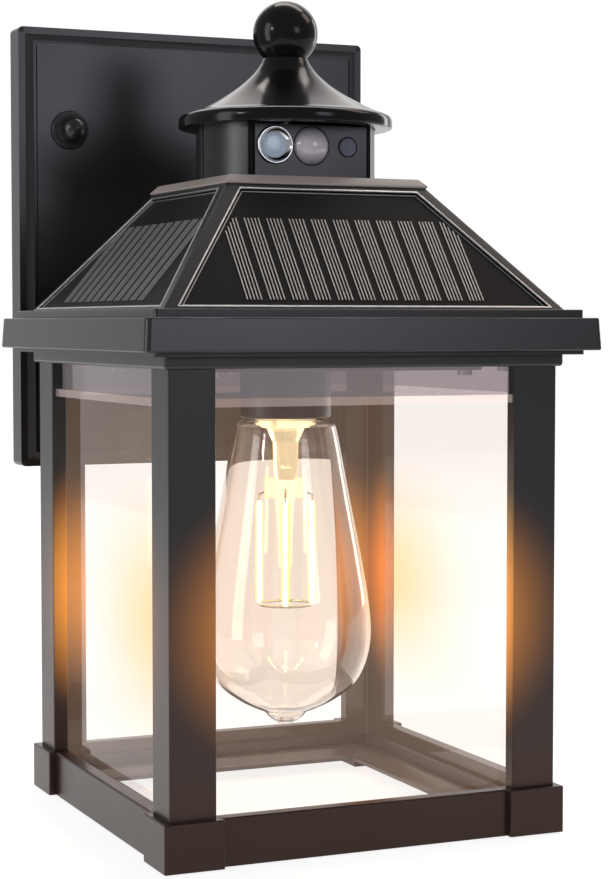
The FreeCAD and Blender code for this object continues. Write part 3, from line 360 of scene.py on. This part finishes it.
def bulb_glass_material(name, tint, painted_glow=0.0):
    """Solid clear glass that lets light rays straight through, so the lamp inside can shine out. Its
    emission, where set above zero, is a painted glow of the filaments' light.
    """
    material, tree, out = new_material(name)
    colour = (*tint, 1.0)
    shader = node(tree, "BsdfPrincipled", IOR=1.5, Base_Color=colour, Transmission_Weight=1.0,
                  Emission_Color=colour, Emission_Strength=painted_glow)
    feed(tree, uneven(tree, 40.0, 0.0, 0.02), shader.inputs["Roughness"])
    through = node(tree, "BsdfTransparent", Color=colour)
    rays = node(tree, "LightPath")
    light_rays = maths(tree, "MAXIMUM", rays.outputs["Is Shadow Ray"], rays.outputs["Is Diffuse Ray"])
    glass = mix_shaders(tree, light_rays, shader.outputs["BSDF"], through.outputs["BSDF"])
    feed(tree, glass, out.inputs["Surface"])
    return material


def sleeve_material(name):
    """Clear yellow phosphor sleeve round the glowing core."""
    material, tree, out = new_material(name)
    through = node(tree, "BsdfTransparent")
    feed(tree, ramp(tree, noise(tree, 200.0), (0.3, (1.0, 0.95, 0.6)), (0.7, (1.0, 0.97, 0.68))),
         through.inputs["Color"])
    shed = node(tree, "Emission", Color=(0.3, 0.27, 0.06, 1.0), Strength=0.8)
    feed(tree, add_shaders(tree, through.outputs["BSDF"], shed.outputs["Emission"]), out.inputs["Surface"])
    return material


def glow_material(name, colour, strength):
    """Phosphor that shines, with a slightly uneven glow along its length."""
    material, tree, out = new_material(name)
    shader = node(tree, "BsdfPrincipled", Roughness=0.5, Base_Color=(*colour, 1.0),
                  Emission_Strength=strength)
    feed(tree, mottle(tree, 180.0, colour, 0.8, 0.2), shader.inputs["Emission Color"])
    feed(tree, shader.outputs["BSDF"], out.inputs["Surface"])
    return material


def floor_material(name):
    """Pale matt floor with a light of its own, see-through from below."""
    material, tree, out = new_material(name)
    shader = node(tree, "BsdfPrincipled", Roughness=0.8, Specular_IOR_Level=0.0, Emission_Color=WHITE,
                  Emission_Strength=0.86)
    feed(tree, ramp(tree, noise(tree, 3.0), (0.3, (0.28, 0.28, 0.28)), (0.7, (0.3, 0.3, 0.3))),
         shader.inputs["Base Color"])
    front_face_only(tree, out, shader.outputs["BSDF"])
    return material


MATERIALS = {
    "black_coat": coat_material("black_coat", 0.012, 0.3),
    "arm_coat": coat_material("arm_coat", 0.012, 0.3, lit=False),
    # Glossier coat for the cap and ball, darker and with weaker reflections as painted shade.
    "gloss_and_painted_shade_coat": coat_material("gloss_and_painted_shade_coat", 0.006, 0.16, lit=False, shine=0.2),
    # Light warm grey as a painted highlight on the roof crown.
    "crown_painted_highlight": plastic_material("crown_painted_highlight", (0.34, 0.3, 0.275), 0.3),
    "steel": metal_material("steel", (0.62, 0.62, 0.6), 0.32),
    "chrome": metal_material("chrome", (0.86, 0.87, 0.89), 0.12),
    "pane_glass": clear_material("pane_glass", (0.97, 0.955, 0.94), (0.052, 0.032, 0.021)),
    "bulb_glass": bulb_glass_material("bulb_glass", (0.935, 0.875, 0.82)),
    # The stem's emission is a painted glow of the filaments' light.
    "stem_glass": bulb_glass_material("stem_glass", (1.0, 0.88, 0.6), 0.35),
    "smoked_strip": strip_material("smoked_strip"),
    "solar_black": plastic_material("solar_black", (0.012, 0.012, 0.012), 0.5, shine=0.08),
    "cell_silver": metal_material("cell_silver", (0.5, 0.5, 0.48), 0.55, 900.0),
    "panel_edge": metal_material("panel_edge", (0.4, 0.4, 0.4), 0.4),
    # Bright metal for the painted highlight round each solar recess.
    "painted_edge_highlight": metal_material("painted_edge_highlight", (0.8, 0.79, 0.78), 0.3),
    "milky_lens": plastic_material("milky_lens", (0.58, 0.54, 0.57), 0.16, coat=0.8),
    "window_blue": plastic_material("window_blue", (0.58, 0.68, 0.82), 0.25, coat=0.4),
    "button_plastic": plastic_material("button_plastic", (0.09, 0.095, 0.13), 0.4),
    "black_plastic": plastic_material("black_plastic", (0.02, 0.02, 0.022), 0.4),
    "liner_plastic": plastic_material("liner_plastic", (0.085, 0.074, 0.074), 0.35),
    # Near-black for painted shade in the turret's gaps and sensor seams.
    "painted_shade_black": plastic_material("painted_shade_black", (0.003, 0.003, 0.003), 0.6, shine=0.1),
    "brass": metal_material("brass", (0.83, 0.62, 0.3), 0.25),
    "cap_silver": metal_material("cap_silver", (0.78, 0.77, 0.74), 0.25),
    "vitrite": plastic_material("vitrite", (0.012, 0.012, 0.016), 0.15),
    "glow": glow_material("glow", (1.0, 0.95, 0.74), 6.0),
    "glow_sleeve": sleeve_material("glow_sleeve"),
    "circuit_green": plastic_material("circuit_green", (0.02, 0.14, 0.06), 0.3, coat=0.3),
    "cell_wrap": plastic_material("cell_wrap", (0.06, 0.2, 0.42), 0.3),
    "wire_red": plastic_material("wire_red", (0.45, 0.03, 0.02), 0.4),
}


# ---- mesh helpers -------------------------------------------------------------------------------
def shade(bm, sharp_degrees):
    """Smooth faces, with creases where they meet at more than this angle."""
    limit = math.radians(sharp_degrees)
    for face in bm.faces:
        face.smooth = True
    for edge in bm.edges:
        edge.smooth = len(edge.link_faces) == 2 and edge.calc_face_angle(0.0) < limit


def piece(name, bm, slot, stands_for=(), body="root", bevel=0.0, sharp=35.0, look=None):
    """Turns a bmesh into a piece that rides on a body and stands for CAD nodes.

    look names its material where that isn't the slot's own.
    """
    bmesh.ops.remove_doubles(bm, verts=bm.verts, dist=1e-7)
    bmesh.ops.recalc_face_normals(bm, faces=bm.faces)
    shade(bm, sharp)
    mesh = bpy.data.meshes.new(name)
    bm.to_mesh(mesh)
    bm.free()
    mesh.materials.append(MATERIALS[look or slot])
    made = bpy.data.objects.new(name, mesh)
    bpy.context.scene.collection.objects.link(made)
    if bevel:
        round_edges(made, bevel)
    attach(made, body)
    if stands_for:
        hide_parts(*stands_for)


def round_edges(made, width_mm):
    """A bevel on every real edge, with the flats kept flat."""
    bevel = made.modifiers.new("edges", "BEVEL")
    bevel.width = width_mm / 1000
    bevel.segments = 2
    bevel.limit_method = "ANGLE"
    bevel.angle_limit = math.radians(38)
    made.modifiers.new("normals", "WEIGHTED_NORMAL")
    for polygon in made.data.polygons:
        polygon.use_smooth = True


def skin(bm, low, high):
    """Joins two closed rows of vertices with faces; a row of one vertex is a pole."""
    for k in range(max(len(low), len(high))):
        after = k + 1
        corners = [low[k % len(low)], low[after % len(low)], high[after % len(high)], high[k % len(high)]]
        bm.faces.new(list(dict.fromkeys(corners)))


def loft(bm, rings, ends=True):
    """Skins rings of points that all have the same count, and closes the first and last."""
    rows = [[bm.verts.new(point) for point in ring] for ring in rings]
    for low, high in zip(rows, rows[1:]):
        skin(bm, low, high)
    if ends:
        bm.faces.new(rows[0][::-1])
        bm.faces.new(rows[-1])


def turn_profile(bm, outline, spot, segments, closed=False):
    """Turns an outline of (radius, distance) points; spot(across, up, distance) places each point."""
    rows = []
    for radius, distance in outline:
        angles = [2 * math.pi * k / segments for k in range(segments if radius else 1)]
        points = [spot(radius * math.cos(a), radius * math.sin(a), distance) for a in angles]
        rows.append([bm.verts.new(point) for point in points])
    for low, high in zip(rows, rows[1:]):
        skin(bm, low, high)
    if closed:
        skin(bm, rows[-1], rows[0])


def lathe(bm, outline, segments=96, x=0.0, y=0.0):
    """Turns (radius, height) points about a vertical line."""
    turn_profile(bm, outline, lambda across, up, z: mm(x + across, y + up, z), segments)


def lathe_forward(bm, outline, x, z, closed=False):
    """Turns (radius, distance from the wall) points about a line square to the wall."""
    turn_profile(bm, outline, lambda across, up, d: mm(x + across, -AXIS_Y - d, z + up), 64, closed)


def smooth_line(points):
    """A smooth line through the points, in six steps from each to the next."""
    steps = 6
    line = []
    for k in range(len(points) - 1):
        before = points[max(k - 1, 0)]
        here, there = points[k], points[k + 1]
        after = points[min(k + 2, len(points) - 1)]
        for step in range(steps):
            t = step / steps
            line.append(tuple(
                0.5 * ((2 * b) + (c - a) * t + (2 * a - 5 * b + 4 * c - d) * t * t
                       + (3 * b - a - 3 * c + d) * t ** 3)
                for a, b, c, d in zip(before, here, there, after)))
    line.append(points[-1])
    return line


def arc(centre, radius, start, end, steps):
    """(across, up) points round a centre, angles in degrees."""
    angles = [math.radians(start + (end - start) * k / steps) for k in range(steps + 1)]
    return [(centre[0] + radius * math.cos(a), centre[1] + radius * math.sin(a)) for a in angles]


def prism(bm, outline, low, high):
    """An upright prism with this (x, y) outline."""
    loft(bm, [[mm(x, y, z) for x, y in outline] for z in (low, high)])


def rectangle(left, right, low, high):
    return [(left, low), (right, low), (right, high), (left, high)]


def on_slope(x, s, out, turn):
    """A point of a roof side: x along the eave, s up the slope, out from its face."""
    y = -ROOF_LOW + s * math.cos(SLOPE) - out * math.sin(SLOPE)
    z = ROOF_Z + s * math.sin(SLOPE) + out * math.cos(SLOPE)
    a = math.radians(turn)
    return mm(x * math.cos(a) - y * math.sin(a), x * math.sin(a) + y * math.cos(a), z)


# ---- carried-over CAD nodes ---------------------------------------------------------------------
BEVELS = {"tray": 0.4, "backplate": 0.5, "roof_shell": 0.35, "corner_blocks": 0.4, "base_liner": 0.3,
          "arm": 0.5, "ceiling_plate": 0.4}
RAIL_BEVEL = 0.3
RAIL_NAMES = ("post_front", "post_rear", "base_rail")
LOOKS = {"base_liner": "liner_plastic"}


def dress(name, slot, bevel):
    """Gives a CAD node its finish, and rounds its edges."""
    made = frame["nodes"][name]
    made.data.materials.clear()
    made.data.materials.append(MATERIALS[LOOKS.get(name, slot)])
    if bevel:
        weld = made.modifiers.new("weld", "WELD")
        weld.merge_threshold = 1e-6
        round_edges(made, bevel)


def dress_all():
    for entry in frame["record"]["subparts"]:
        name = entry["node"]
        bevel = BEVELS.get(name, RAIL_BEVEL if name.startswith(RAIL_NAMES) else 0.0)
        dress(name, entry["material_slot"], bevel)


# ---- cap and ball -------------------------------------------------------------------------------
def make_cap():
    bm = bmesh.new()
    skirt = smooth_line([(8.1, CAP_TOP_Z), (9.6, 277.2), (12.6, 273.6), (18.2, 269.0), (26.0, 264.3),
                         (34.6, 260.2), (37.2, 259.3)])
    brim = [(37.6, 259.1), (38.4, 258.75), (39.1, 258.2), (39.5, 257.4), (39.6, 256.6), (39.6, 254.6),
            (39.4, 254.1), (38.9, CAP_LOW_Z)]
    under = [(33.4, CAP_LOW_Z), (33.3, TURRET_TOP_Z), (31.0, 255.5), (13.0, 266.0), (0.0, 266.5)]
    lathe(bm, [(0.0, CAP_TOP_Z)] + skirt + brim + under, 128)
    piece("cap", bm, "black_coat", ["cone_cap"], sharp=30, look="gloss_and_painted_shade_coat")


def make_ball():
    bm = bmesh.new()
    ball = arc((0, BALL_Z), BALL_R, -50, 90, 36)
    lathe(bm, [(0.0, ball[0][1])] + ball[:-1] + [(0.0, BALL_Z + BALL_R)])
    piece("ball", bm, "black_coat", ["finial"], sharp=40, look="gloss_and_painted_shade_coat")


# ---- turret -------------------------------------------------------------------------------------
def turret_wall(bm, start, end, radius=TURRET_R, steps=20, top=TURRET_TOP_Z):
    """A stretch of the round wall between two angles."""
    outline = arc((0, 0), radius, start, end, steps)
    outline += arc((0, 0), TURRET_R - TURRET_WALL, end, start, steps)
    prism(bm, outline, ROOF_TOP_Z, top)


def make_turret():
    """The rear half, the two cheeks beside the flat front, and black strips in the gaps between them as
    painted shade.
    """
    flat = math.degrees(math.acos(FLAT_HALF / TURRET_R))
    bm = bmesh.new()
    turret_wall(bm, 0.15, 179.85, steps=60)
    piece("turret_back", bm, "black_coat", ["turret_rear"], bevel=0.25, sharp=30)
    bm = bmesh.new()
    turret_wall(bm, 180 + SEAM_TURN, 180 + flat - FLAT_GAP_TURN)
    turret_wall(bm, FLAT_GAP_TURN - flat, -SEAM_TURN)
    piece("turret_cheeks", bm, "black_coat", ["turret_front"], bevel=0.25, sharp=30)
    # Painted shade: black strips set just inside the gaps.
    bm = bmesh.new()
    for start, end in ((180.2, 180 + SEAM_TURN), (180 + flat - FLAT_GAP_TURN, 180 + flat),
                       (-flat, FLAT_GAP_TURN - flat), (-SEAM_TURN, -0.2)):
        turret_wall(bm, start, end, TURRET_R - 0.4, 4, TURRET_TOP_Z - 0.1)
    piece("turret_gap_shade", bm, "black_plastic", look="painted_shade_black", sharp=30)


# ---- photocell, motion sensor and button --------------------------------------------------------
def make_photocell():
    """A bright ring round a pale blue domed window."""
    front = FLAT_FORWARD
    bm = bmesh.new()
    ring = [(4.9, front - 2.4), (5.9, front - 2.4), (5.9, front), (6.8, front), (6.85, front + 0.7)]
    ring += arc((6.4, front + 0.85), 0.45, 0, 150, 6)
    ring += [(5.7, front + 0.6), (4.8, front + 0.1), (4.75, front - 0.6)]
    lathe_forward(bm, ring, -SENSOR_X, SENSOR_Z, closed=True)
    piece("photocell_ring", bm, "chrome", ["photocell_bezel"], sharp=40)

    bm = bmesh.new()
    dome = [(4.7, front - 0.6), (4.7, front + 0.05), (4.2, front + 0.35), (3.0, front + 0.55),
            (1.5, front + 0.62), (0, front + 0.64)]
    lathe_forward(bm, [(0, front - 0.6)] + dome, -SENSOR_X, SENSOR_Z)
    piece("photocell_pane", bm, "window_blue", ["photocell_window"], sharp=50)


def make_motion_lens():
    """A milky dome, part of a ball, with a spigot behind it."""
    front = FLAT_FORWARD
    radius, rise = 6.8, 4.3
    ball = (radius * radius + rise * rise) / (2 * rise)
    start = math.degrees(math.acos(radius / ball))
    dome = arc((0, front + rise - ball), ball, start, 90, 18)[:-1] + [(0.0, front + rise)]
    spigot = [(0, front - 2.2), (6.05, front - 2.2), (6.05, front), (radius, front)]
    bm = bmesh.new()
    lathe_forward(bm, spigot + dome, 0, SENSOR_Z)
    piece("motion_lens", bm, "milky_lens", ["pir_lens"], sharp=50)


def make_sensor_shade_lines():
    """Painted shade: a black ring round the dome as its painted shadow, and black strips down both sides
    of the flat front where its seams are.
    """
    front = FLAT_FORWARD
    bm = bmesh.new()
    ring = [(6.7, front), (7.15, front), (7.15, front + 0.06), (6.7, front + 0.06)]
    lathe_forward(bm, ring, 0, SENSOR_Z, closed=True)
    for side in (-1, 1):
        x = side * (FLAT_HALF - 0.4)
        prism(bm, rectangle(x - 0.45, x + 0.45, -FLAT_Y - 0.03, -FLAT_Y + 0.3), ROOF_TOP_Z + 0.3,
              TURRET_TOP_Z - 0.3)
    piece("sensor_painted_shade", bm, "black_plastic", look="painted_shade_black", sharp=30)


def make_push_button():
    """A button with a rounded edge and a flange behind the flat front."""
    front = FLAT_FORWARD
    bm = bmesh.new()
    face = [(0, front + 0.42), (2.2, front + 0.42), (3.1, front + 0.5), (3.45, front + 0.15)]
    flange = [(3.45, front - 1.6), (4.55, front - 1.6), (4.55, front - 2.3), (0, front - 2.3)]
    lathe_forward(bm, face + flange, SENSOR_X, SENSOR_Z)
    piece("push_button", bm, "button_plastic", ["mode_button"], body="button", sharp=30)


# ---- roof trims and solar cells -----------------------------------------------------------------
def make_roof_crown():
    """The sloping rim round the flat top, outside the turret, in a light warm grey that is a painted
    highlight.
    """
    outline = [(35.0, 231.0), (39.0, 231.0), (39.4, 231.4), (39.1, 231.9), (36.8, 234.3), (33.3, 234.3),
               (33.2, 232.6), (35.0, 231.0)]
    rings = [[mm(x, y, z) for x, y in rectangle(-half, half, -half, half)] for half, z in outline]
    bm = bmesh.new()
    loft(bm, rings, ends=False)
    piece("roof_crown", bm, "black_coat", bevel=0.2, sharp=30, look="crown_painted_highlight")


def recess_outline(inset):
    """Outline of the solar recess on a roof side, drawn in by inset, as (x, s) points."""
    lean = (RECESS_LOW_X - RECESS_HIGH_X) / (RECESS_HIGH_S - RECESS_LOW_S)
    side = inset * math.hypot(1, lean)
    low, high = RECESS_LOW_S + inset, RECESS_HIGH_S - inset
    low_x = RECESS_LOW_X - side - inset * lean
    high_x = RECESS_HIGH_X - side + inset * lean
    return [(-low_x, low), (low_x, low), (high_x, high), (-high_x, high)]


def recess_border(bm, outer, inner, low, high, turn):
    """A raised mitred border on a roof side between two insets."""
    corners = ((outer, low), (outer, high), (inner, high), (inner, low), (outer, low))
    rings = [[on_slope(x, s, out, turn) for x, s in recess_outline(inset)] for inset, out in corners]
    loft(bm, rings, ends=False)


def make_panel_trims_and_highlights():
    """A painted highlight round the mouth of each recess, drawn as thin bright edging, and thin edging
    round each panel.
    """
    bm = bmesh.new()
    for turn in PANEL_TURNS:
        recess_border(bm, -0.15, 0.4, -0.6, 0.22, turn)
    # Painted highlight round each recess.
    piece("recess_painted_highlights", bm, "panel_edge", bevel=0.12, sharp=30, look="painted_edge_highlight")
    bm = bmesh.new()
    for turn in PANEL_TURNS:
        recess_border(bm, 1.0, 1.4, -2.18, -0.68, turn)
    piece("panel_borders", bm, "panel_edge", ["panel_frames"], bevel=0.1, sharp=30)


def make_cells():
    """Groups of fine silver lines that run up each panel, cut off at its slanted sides."""
    groups, group_pitch = 11, 8.4
    lines, line_pitch, width = 5, 1.28, 0.42
    low, top, shortest = 4.6, 41.4, 2.0
    under, over = -0.78, -0.58
    side_low_x, side_low_s = 69.4, 1.6
    side_high_x, side_high_s = 34.2, 54.0
    margin = 2.2
    bm = bmesh.new()
    for turn in PANEL_TURNS:
        for group in range(groups):
            for line in range(lines):
                x = (group - (groups - 1) / 2) * group_pitch + (line - (lines - 1) / 2) * line_pitch
                along_side = (abs(x) + margin - side_high_x) / (side_low_x - side_high_x)
                high = min(top, side_high_s - along_side * (side_high_s - side_low_s))
                if high > low + shortest:
                    outline = rectangle(x - width / 2, x + width / 2, low, high)
                    loft(bm, [[on_slope(px, s, out, turn) for px, s in outline] for out in (under, over)])
    piece("cell_lines", bm, "cell_silver", ["solar_cells"])


# ---- cap nuts -----------------------------------------------------------------------------------
def make_cap_nuts():
    """Two domed nuts on flanges."""
    seat, radius, shoulder = NUT_SEAT, 4.75, NUT_SEAT + 5.7
    outline = [(0, seat), (7.7, seat), (7.7, seat + 0.8)] + arc((7.1, seat + 0.8), 0.6, 0, 90, 4)
    outline += [(5.4, seat + 1.4), (4.85, seat + 1.7), (radius, seat + 2.2), (radius, shoulder)]
    outline += arc((0, shoulder), radius, 0, 90, 12)[1:-1] + [(0, shoulder + radius)]
    bm = bmesh.new()
    for side in (-1, 1):
        lathe_forward(bm, outline, side * NUT_X, -FOOT_Z)
    piece("domed_nuts", bm, "black_coat", ["cap_nuts"], sharp=40)


# ---- bulb ---------------------------------------------------------------------------------------
def make_envelope():
    """A pear-shaped glass shell with a melted tip at the bottom, open at its neck."""
    tip = [(0.0, 31.6), (1.6, 31.8), (3.0, 32.3), (4.0, 32.9)]
    pear = [(4.6, 33.4), (6.6, 34.9), (8.2, 36.7), (11.6, 38.1), (18.2, 41.4), (25.6, 47.0), (29.9, 54.6),
            (32.0, 65.0), (31.2, 78.3), (28.3, 96.0), (24.4, 116.0), (21.4, 132.0), (19.4, 142.2),
            (18.3, 145.0), (15.6, 146.5), (12.95, BULB_NECK_Z)]
    outer = tip + smooth_line(pear)
    inner = []
    for before, here, after in zip(outer[len(tip) - 1:], outer[len(tip):], outer[len(tip) + 1:]):
        run = Vector((after[0] - before[0], after[1] - before[1])).normalized()
        inner.append((max(here[0] - run.y * BULB_WALL, 0.0), here[1] + run.x * BULB_WALL))
    inner.append((12.2, BULB_NECK_Z))
    bm = bmesh.new()
    lathe(bm, outer + inner[::-1] + [(0.0, inner[0][1])], 128)
    piece("envelope", bm, "bulb_glass", ["bulb_envelope"], body="bulb", sharp=60)


def make_filaments():
    """Four upright lit rods with round ends, each in a clear sleeve."""
    for name, radius, look in (("lit_rods", 0.95, "glow"), ("rod_sleeves", 1.6, "glow_sleeve")):
        bm = bmesh.new()
        low, high = FILAMENT_LOW_Z + radius, FILAMENT_HIGH_Z - radius
        ends = arc((0, low), radius, -90, 0, 5)[1:] + arc((0, high), radius, 0, 90, 5)[:-1]
        outline = [(0.0, low - radius)] + ends + [(0.0, high + radius)]
        for quarter in range(4):
            a = math.radians(FILAMENT_TURN + 90 * quarter)
            lathe(bm, outline, 20, FILAMENT_RING_R * math.cos(a), FILAMENT_RING_R * math.sin(a))
        piece(name, bm, "glow", ["filaments"], body="bulb", sharp=60, look=look)


# ---- stage, light and camera --------------------------------------------------------------------
def make_stage():
    """A pale floor under the lantern that sweeps up into a backdrop behind it."""
    near, bend, sweep, top = -0.7, 2.2, 0.8, 2.0
    left, right = -0.5, 3.5
    floor_z = FOOT_Z / 1000 - 0.0005
    line = [(near, 0.0), (bend, 0.0)] + arc((bend, sweep), sweep, -90, 0, 16)[1:] + [(bend + sweep, top)]
    bm = bmesh.new()
    rows = [[bm.verts.new((x, y, floor_z + z)) for x in (left, right)] for y, z in line]
    for low, high in zip(rows, rows[1:]):
        bm.faces.new((low[0], low[1], high[1], high[0])).smooth = True
    mesh = bpy.data.meshes.new("floor")
    bm.to_mesh(mesh)
    bm.free()
    mesh.materials.append(floor_material("pale_floor"))
    floor = bpy.data.objects.new("floor", mesh)
    bpy.context.scene.collection.objects.link(floor)


def make_world():
    """White to the eye and through glass; dim in front and bright behind for light and gloss."""
    world = bpy.data.worlds.new("studio")
    bpy.context.scene.world = world
    world.use_nodes = True
    tree = world.node_tree
    tree.nodes.clear()
    out = tree.nodes.new("ShaderNodeOutputWorld")
    white = node(tree, "Background", Color=WHITE, Strength=1.0)
    soft = node(tree, "Background", Strength=1.0)
    direction = node(tree, "TexCoord").outputs["Generated"]
    behind = vector_maths(tree, "DOT_PRODUCT", direction, (0.3, 0.954, 0.0))
    dim = (0.3, 0.3, 0.32)
    feed(tree, ramp(tree, behind, (0.0, dim), (0.68, dim), (0.95, (1.0, 1.0, 1.0))), soft.inputs["Color"])
    rays = node(tree, "LightPath")
    seen = maths(tree, "MAXIMUM", rays.outputs["Is Camera Ray"], rays.outputs["Is Transmission Ray"])
    feed(tree, mix_shaders(tree, seen, soft.outputs["Background"], white.outputs["Background"]),
         out.inputs["Surface"])


# name, place from the lantern's middle (m), width and height (m), power (W), colour
AREA_LIGHTS = [
    ("left_box", (-1.6, 0.02, 0.2), (0.5, 1.5), 9, (1, 1, 1)),
    ("back_box", (0.75, 1.4, 1.2), (2.2, 0.9), 6, (1, 0.94, 0.89)),
    ("top_bar", (0.55, 0.62, 1.65), (1.6, 0.5), 14, (1, 0.92, 0.86)),
    ("right_strip", (1.6, 0.7, 0.1), (0.25, 1.6), 7, (1, 0.95, 0.9)),
    ("left_spot", (-1.5, -0.5, 0.5), (0.14, 0.14), 2.6, (1, 1, 1)),
    ("front_fill", (0.5, -1.5, 0.35), (0.45, 0.45), 2.4, (0.85, 0.88, 1)),
    ("copper_box", (1.0, -0.15, 0.95), (0.4, 0.5), 2.6, (1, 0.74, 0.6)),
]


def add_light(data, place_m):
    made = bpy.data.objects.new(data.name, data)
    made.location = place_m
    bpy.context.scene.collection.objects.link(made)
    return made


def make_lights():
    """Soft boxes turned to the lantern's middle, and the lamp's own small glow."""
    for name, offset, (width, height), power, colour in AREA_LIGHTS:
        data = bpy.data.lights.new(name, "AREA")
        data.shape = "RECTANGLE"
        data.size, data.size_y = width, height
        data.energy = power
        data.color = colour
        made = add_light(data, MIDDLE + Vector(offset))
        made.rotation_euler = (-Vector(offset)).to_track_quat("-Z", "Y").to_euler()
    lamp = bpy.data.lights.new("lamp_glow", "POINT")
    lamp.energy = 0.3
    lamp.color = WARM
    lamp.shadow_soft_size = 0.012
    made = add_light(lamp, LAMP)
    made.visible_transmission = False
    made.visible_glossy = False


def make_camera():
    """A long lens in front of the lantern, a little to its left and above its middle."""
    azimuth, elevation = math.radians(-23.722), math.radians(3.141)
    back = Vector((math.sin(azimuth) * math.cos(elevation), -math.cos(azimuth) * math.cos(elevation),
                   math.sin(elevation)))
    data = bpy.data.cameras.new("camera")
    data.lens = 86.4
    data.sensor_width = 36.0
    data.clip_start = 0.05
    made = bpy.data.objects.new("camera", data)
    made.location = mm(-310.64, -724.11, 182.12)
    made.rotation_euler = (-back).to_track_quat("-Z", "Y").to_euler()
    bpy.context.scene.collection.objects.link(made)
    bpy.context.scene.camera = made


# ---- the scene ----------------------------------------------------------------------------------
make_camera()
dress_all()
make_cap()
make_ball()
make_turret()
make_photocell()
make_motion_lens()
make_sensor_shade_lines()
make_push_button()
make_roof_crown()
make_panel_trims_and_highlights()
make_cells()
make_cap_nuts()
make_envelope()
make_filaments()
make_stage()
make_world()
make_lights()
bpy.context.scene.view_settings.view_transform = "Standard"
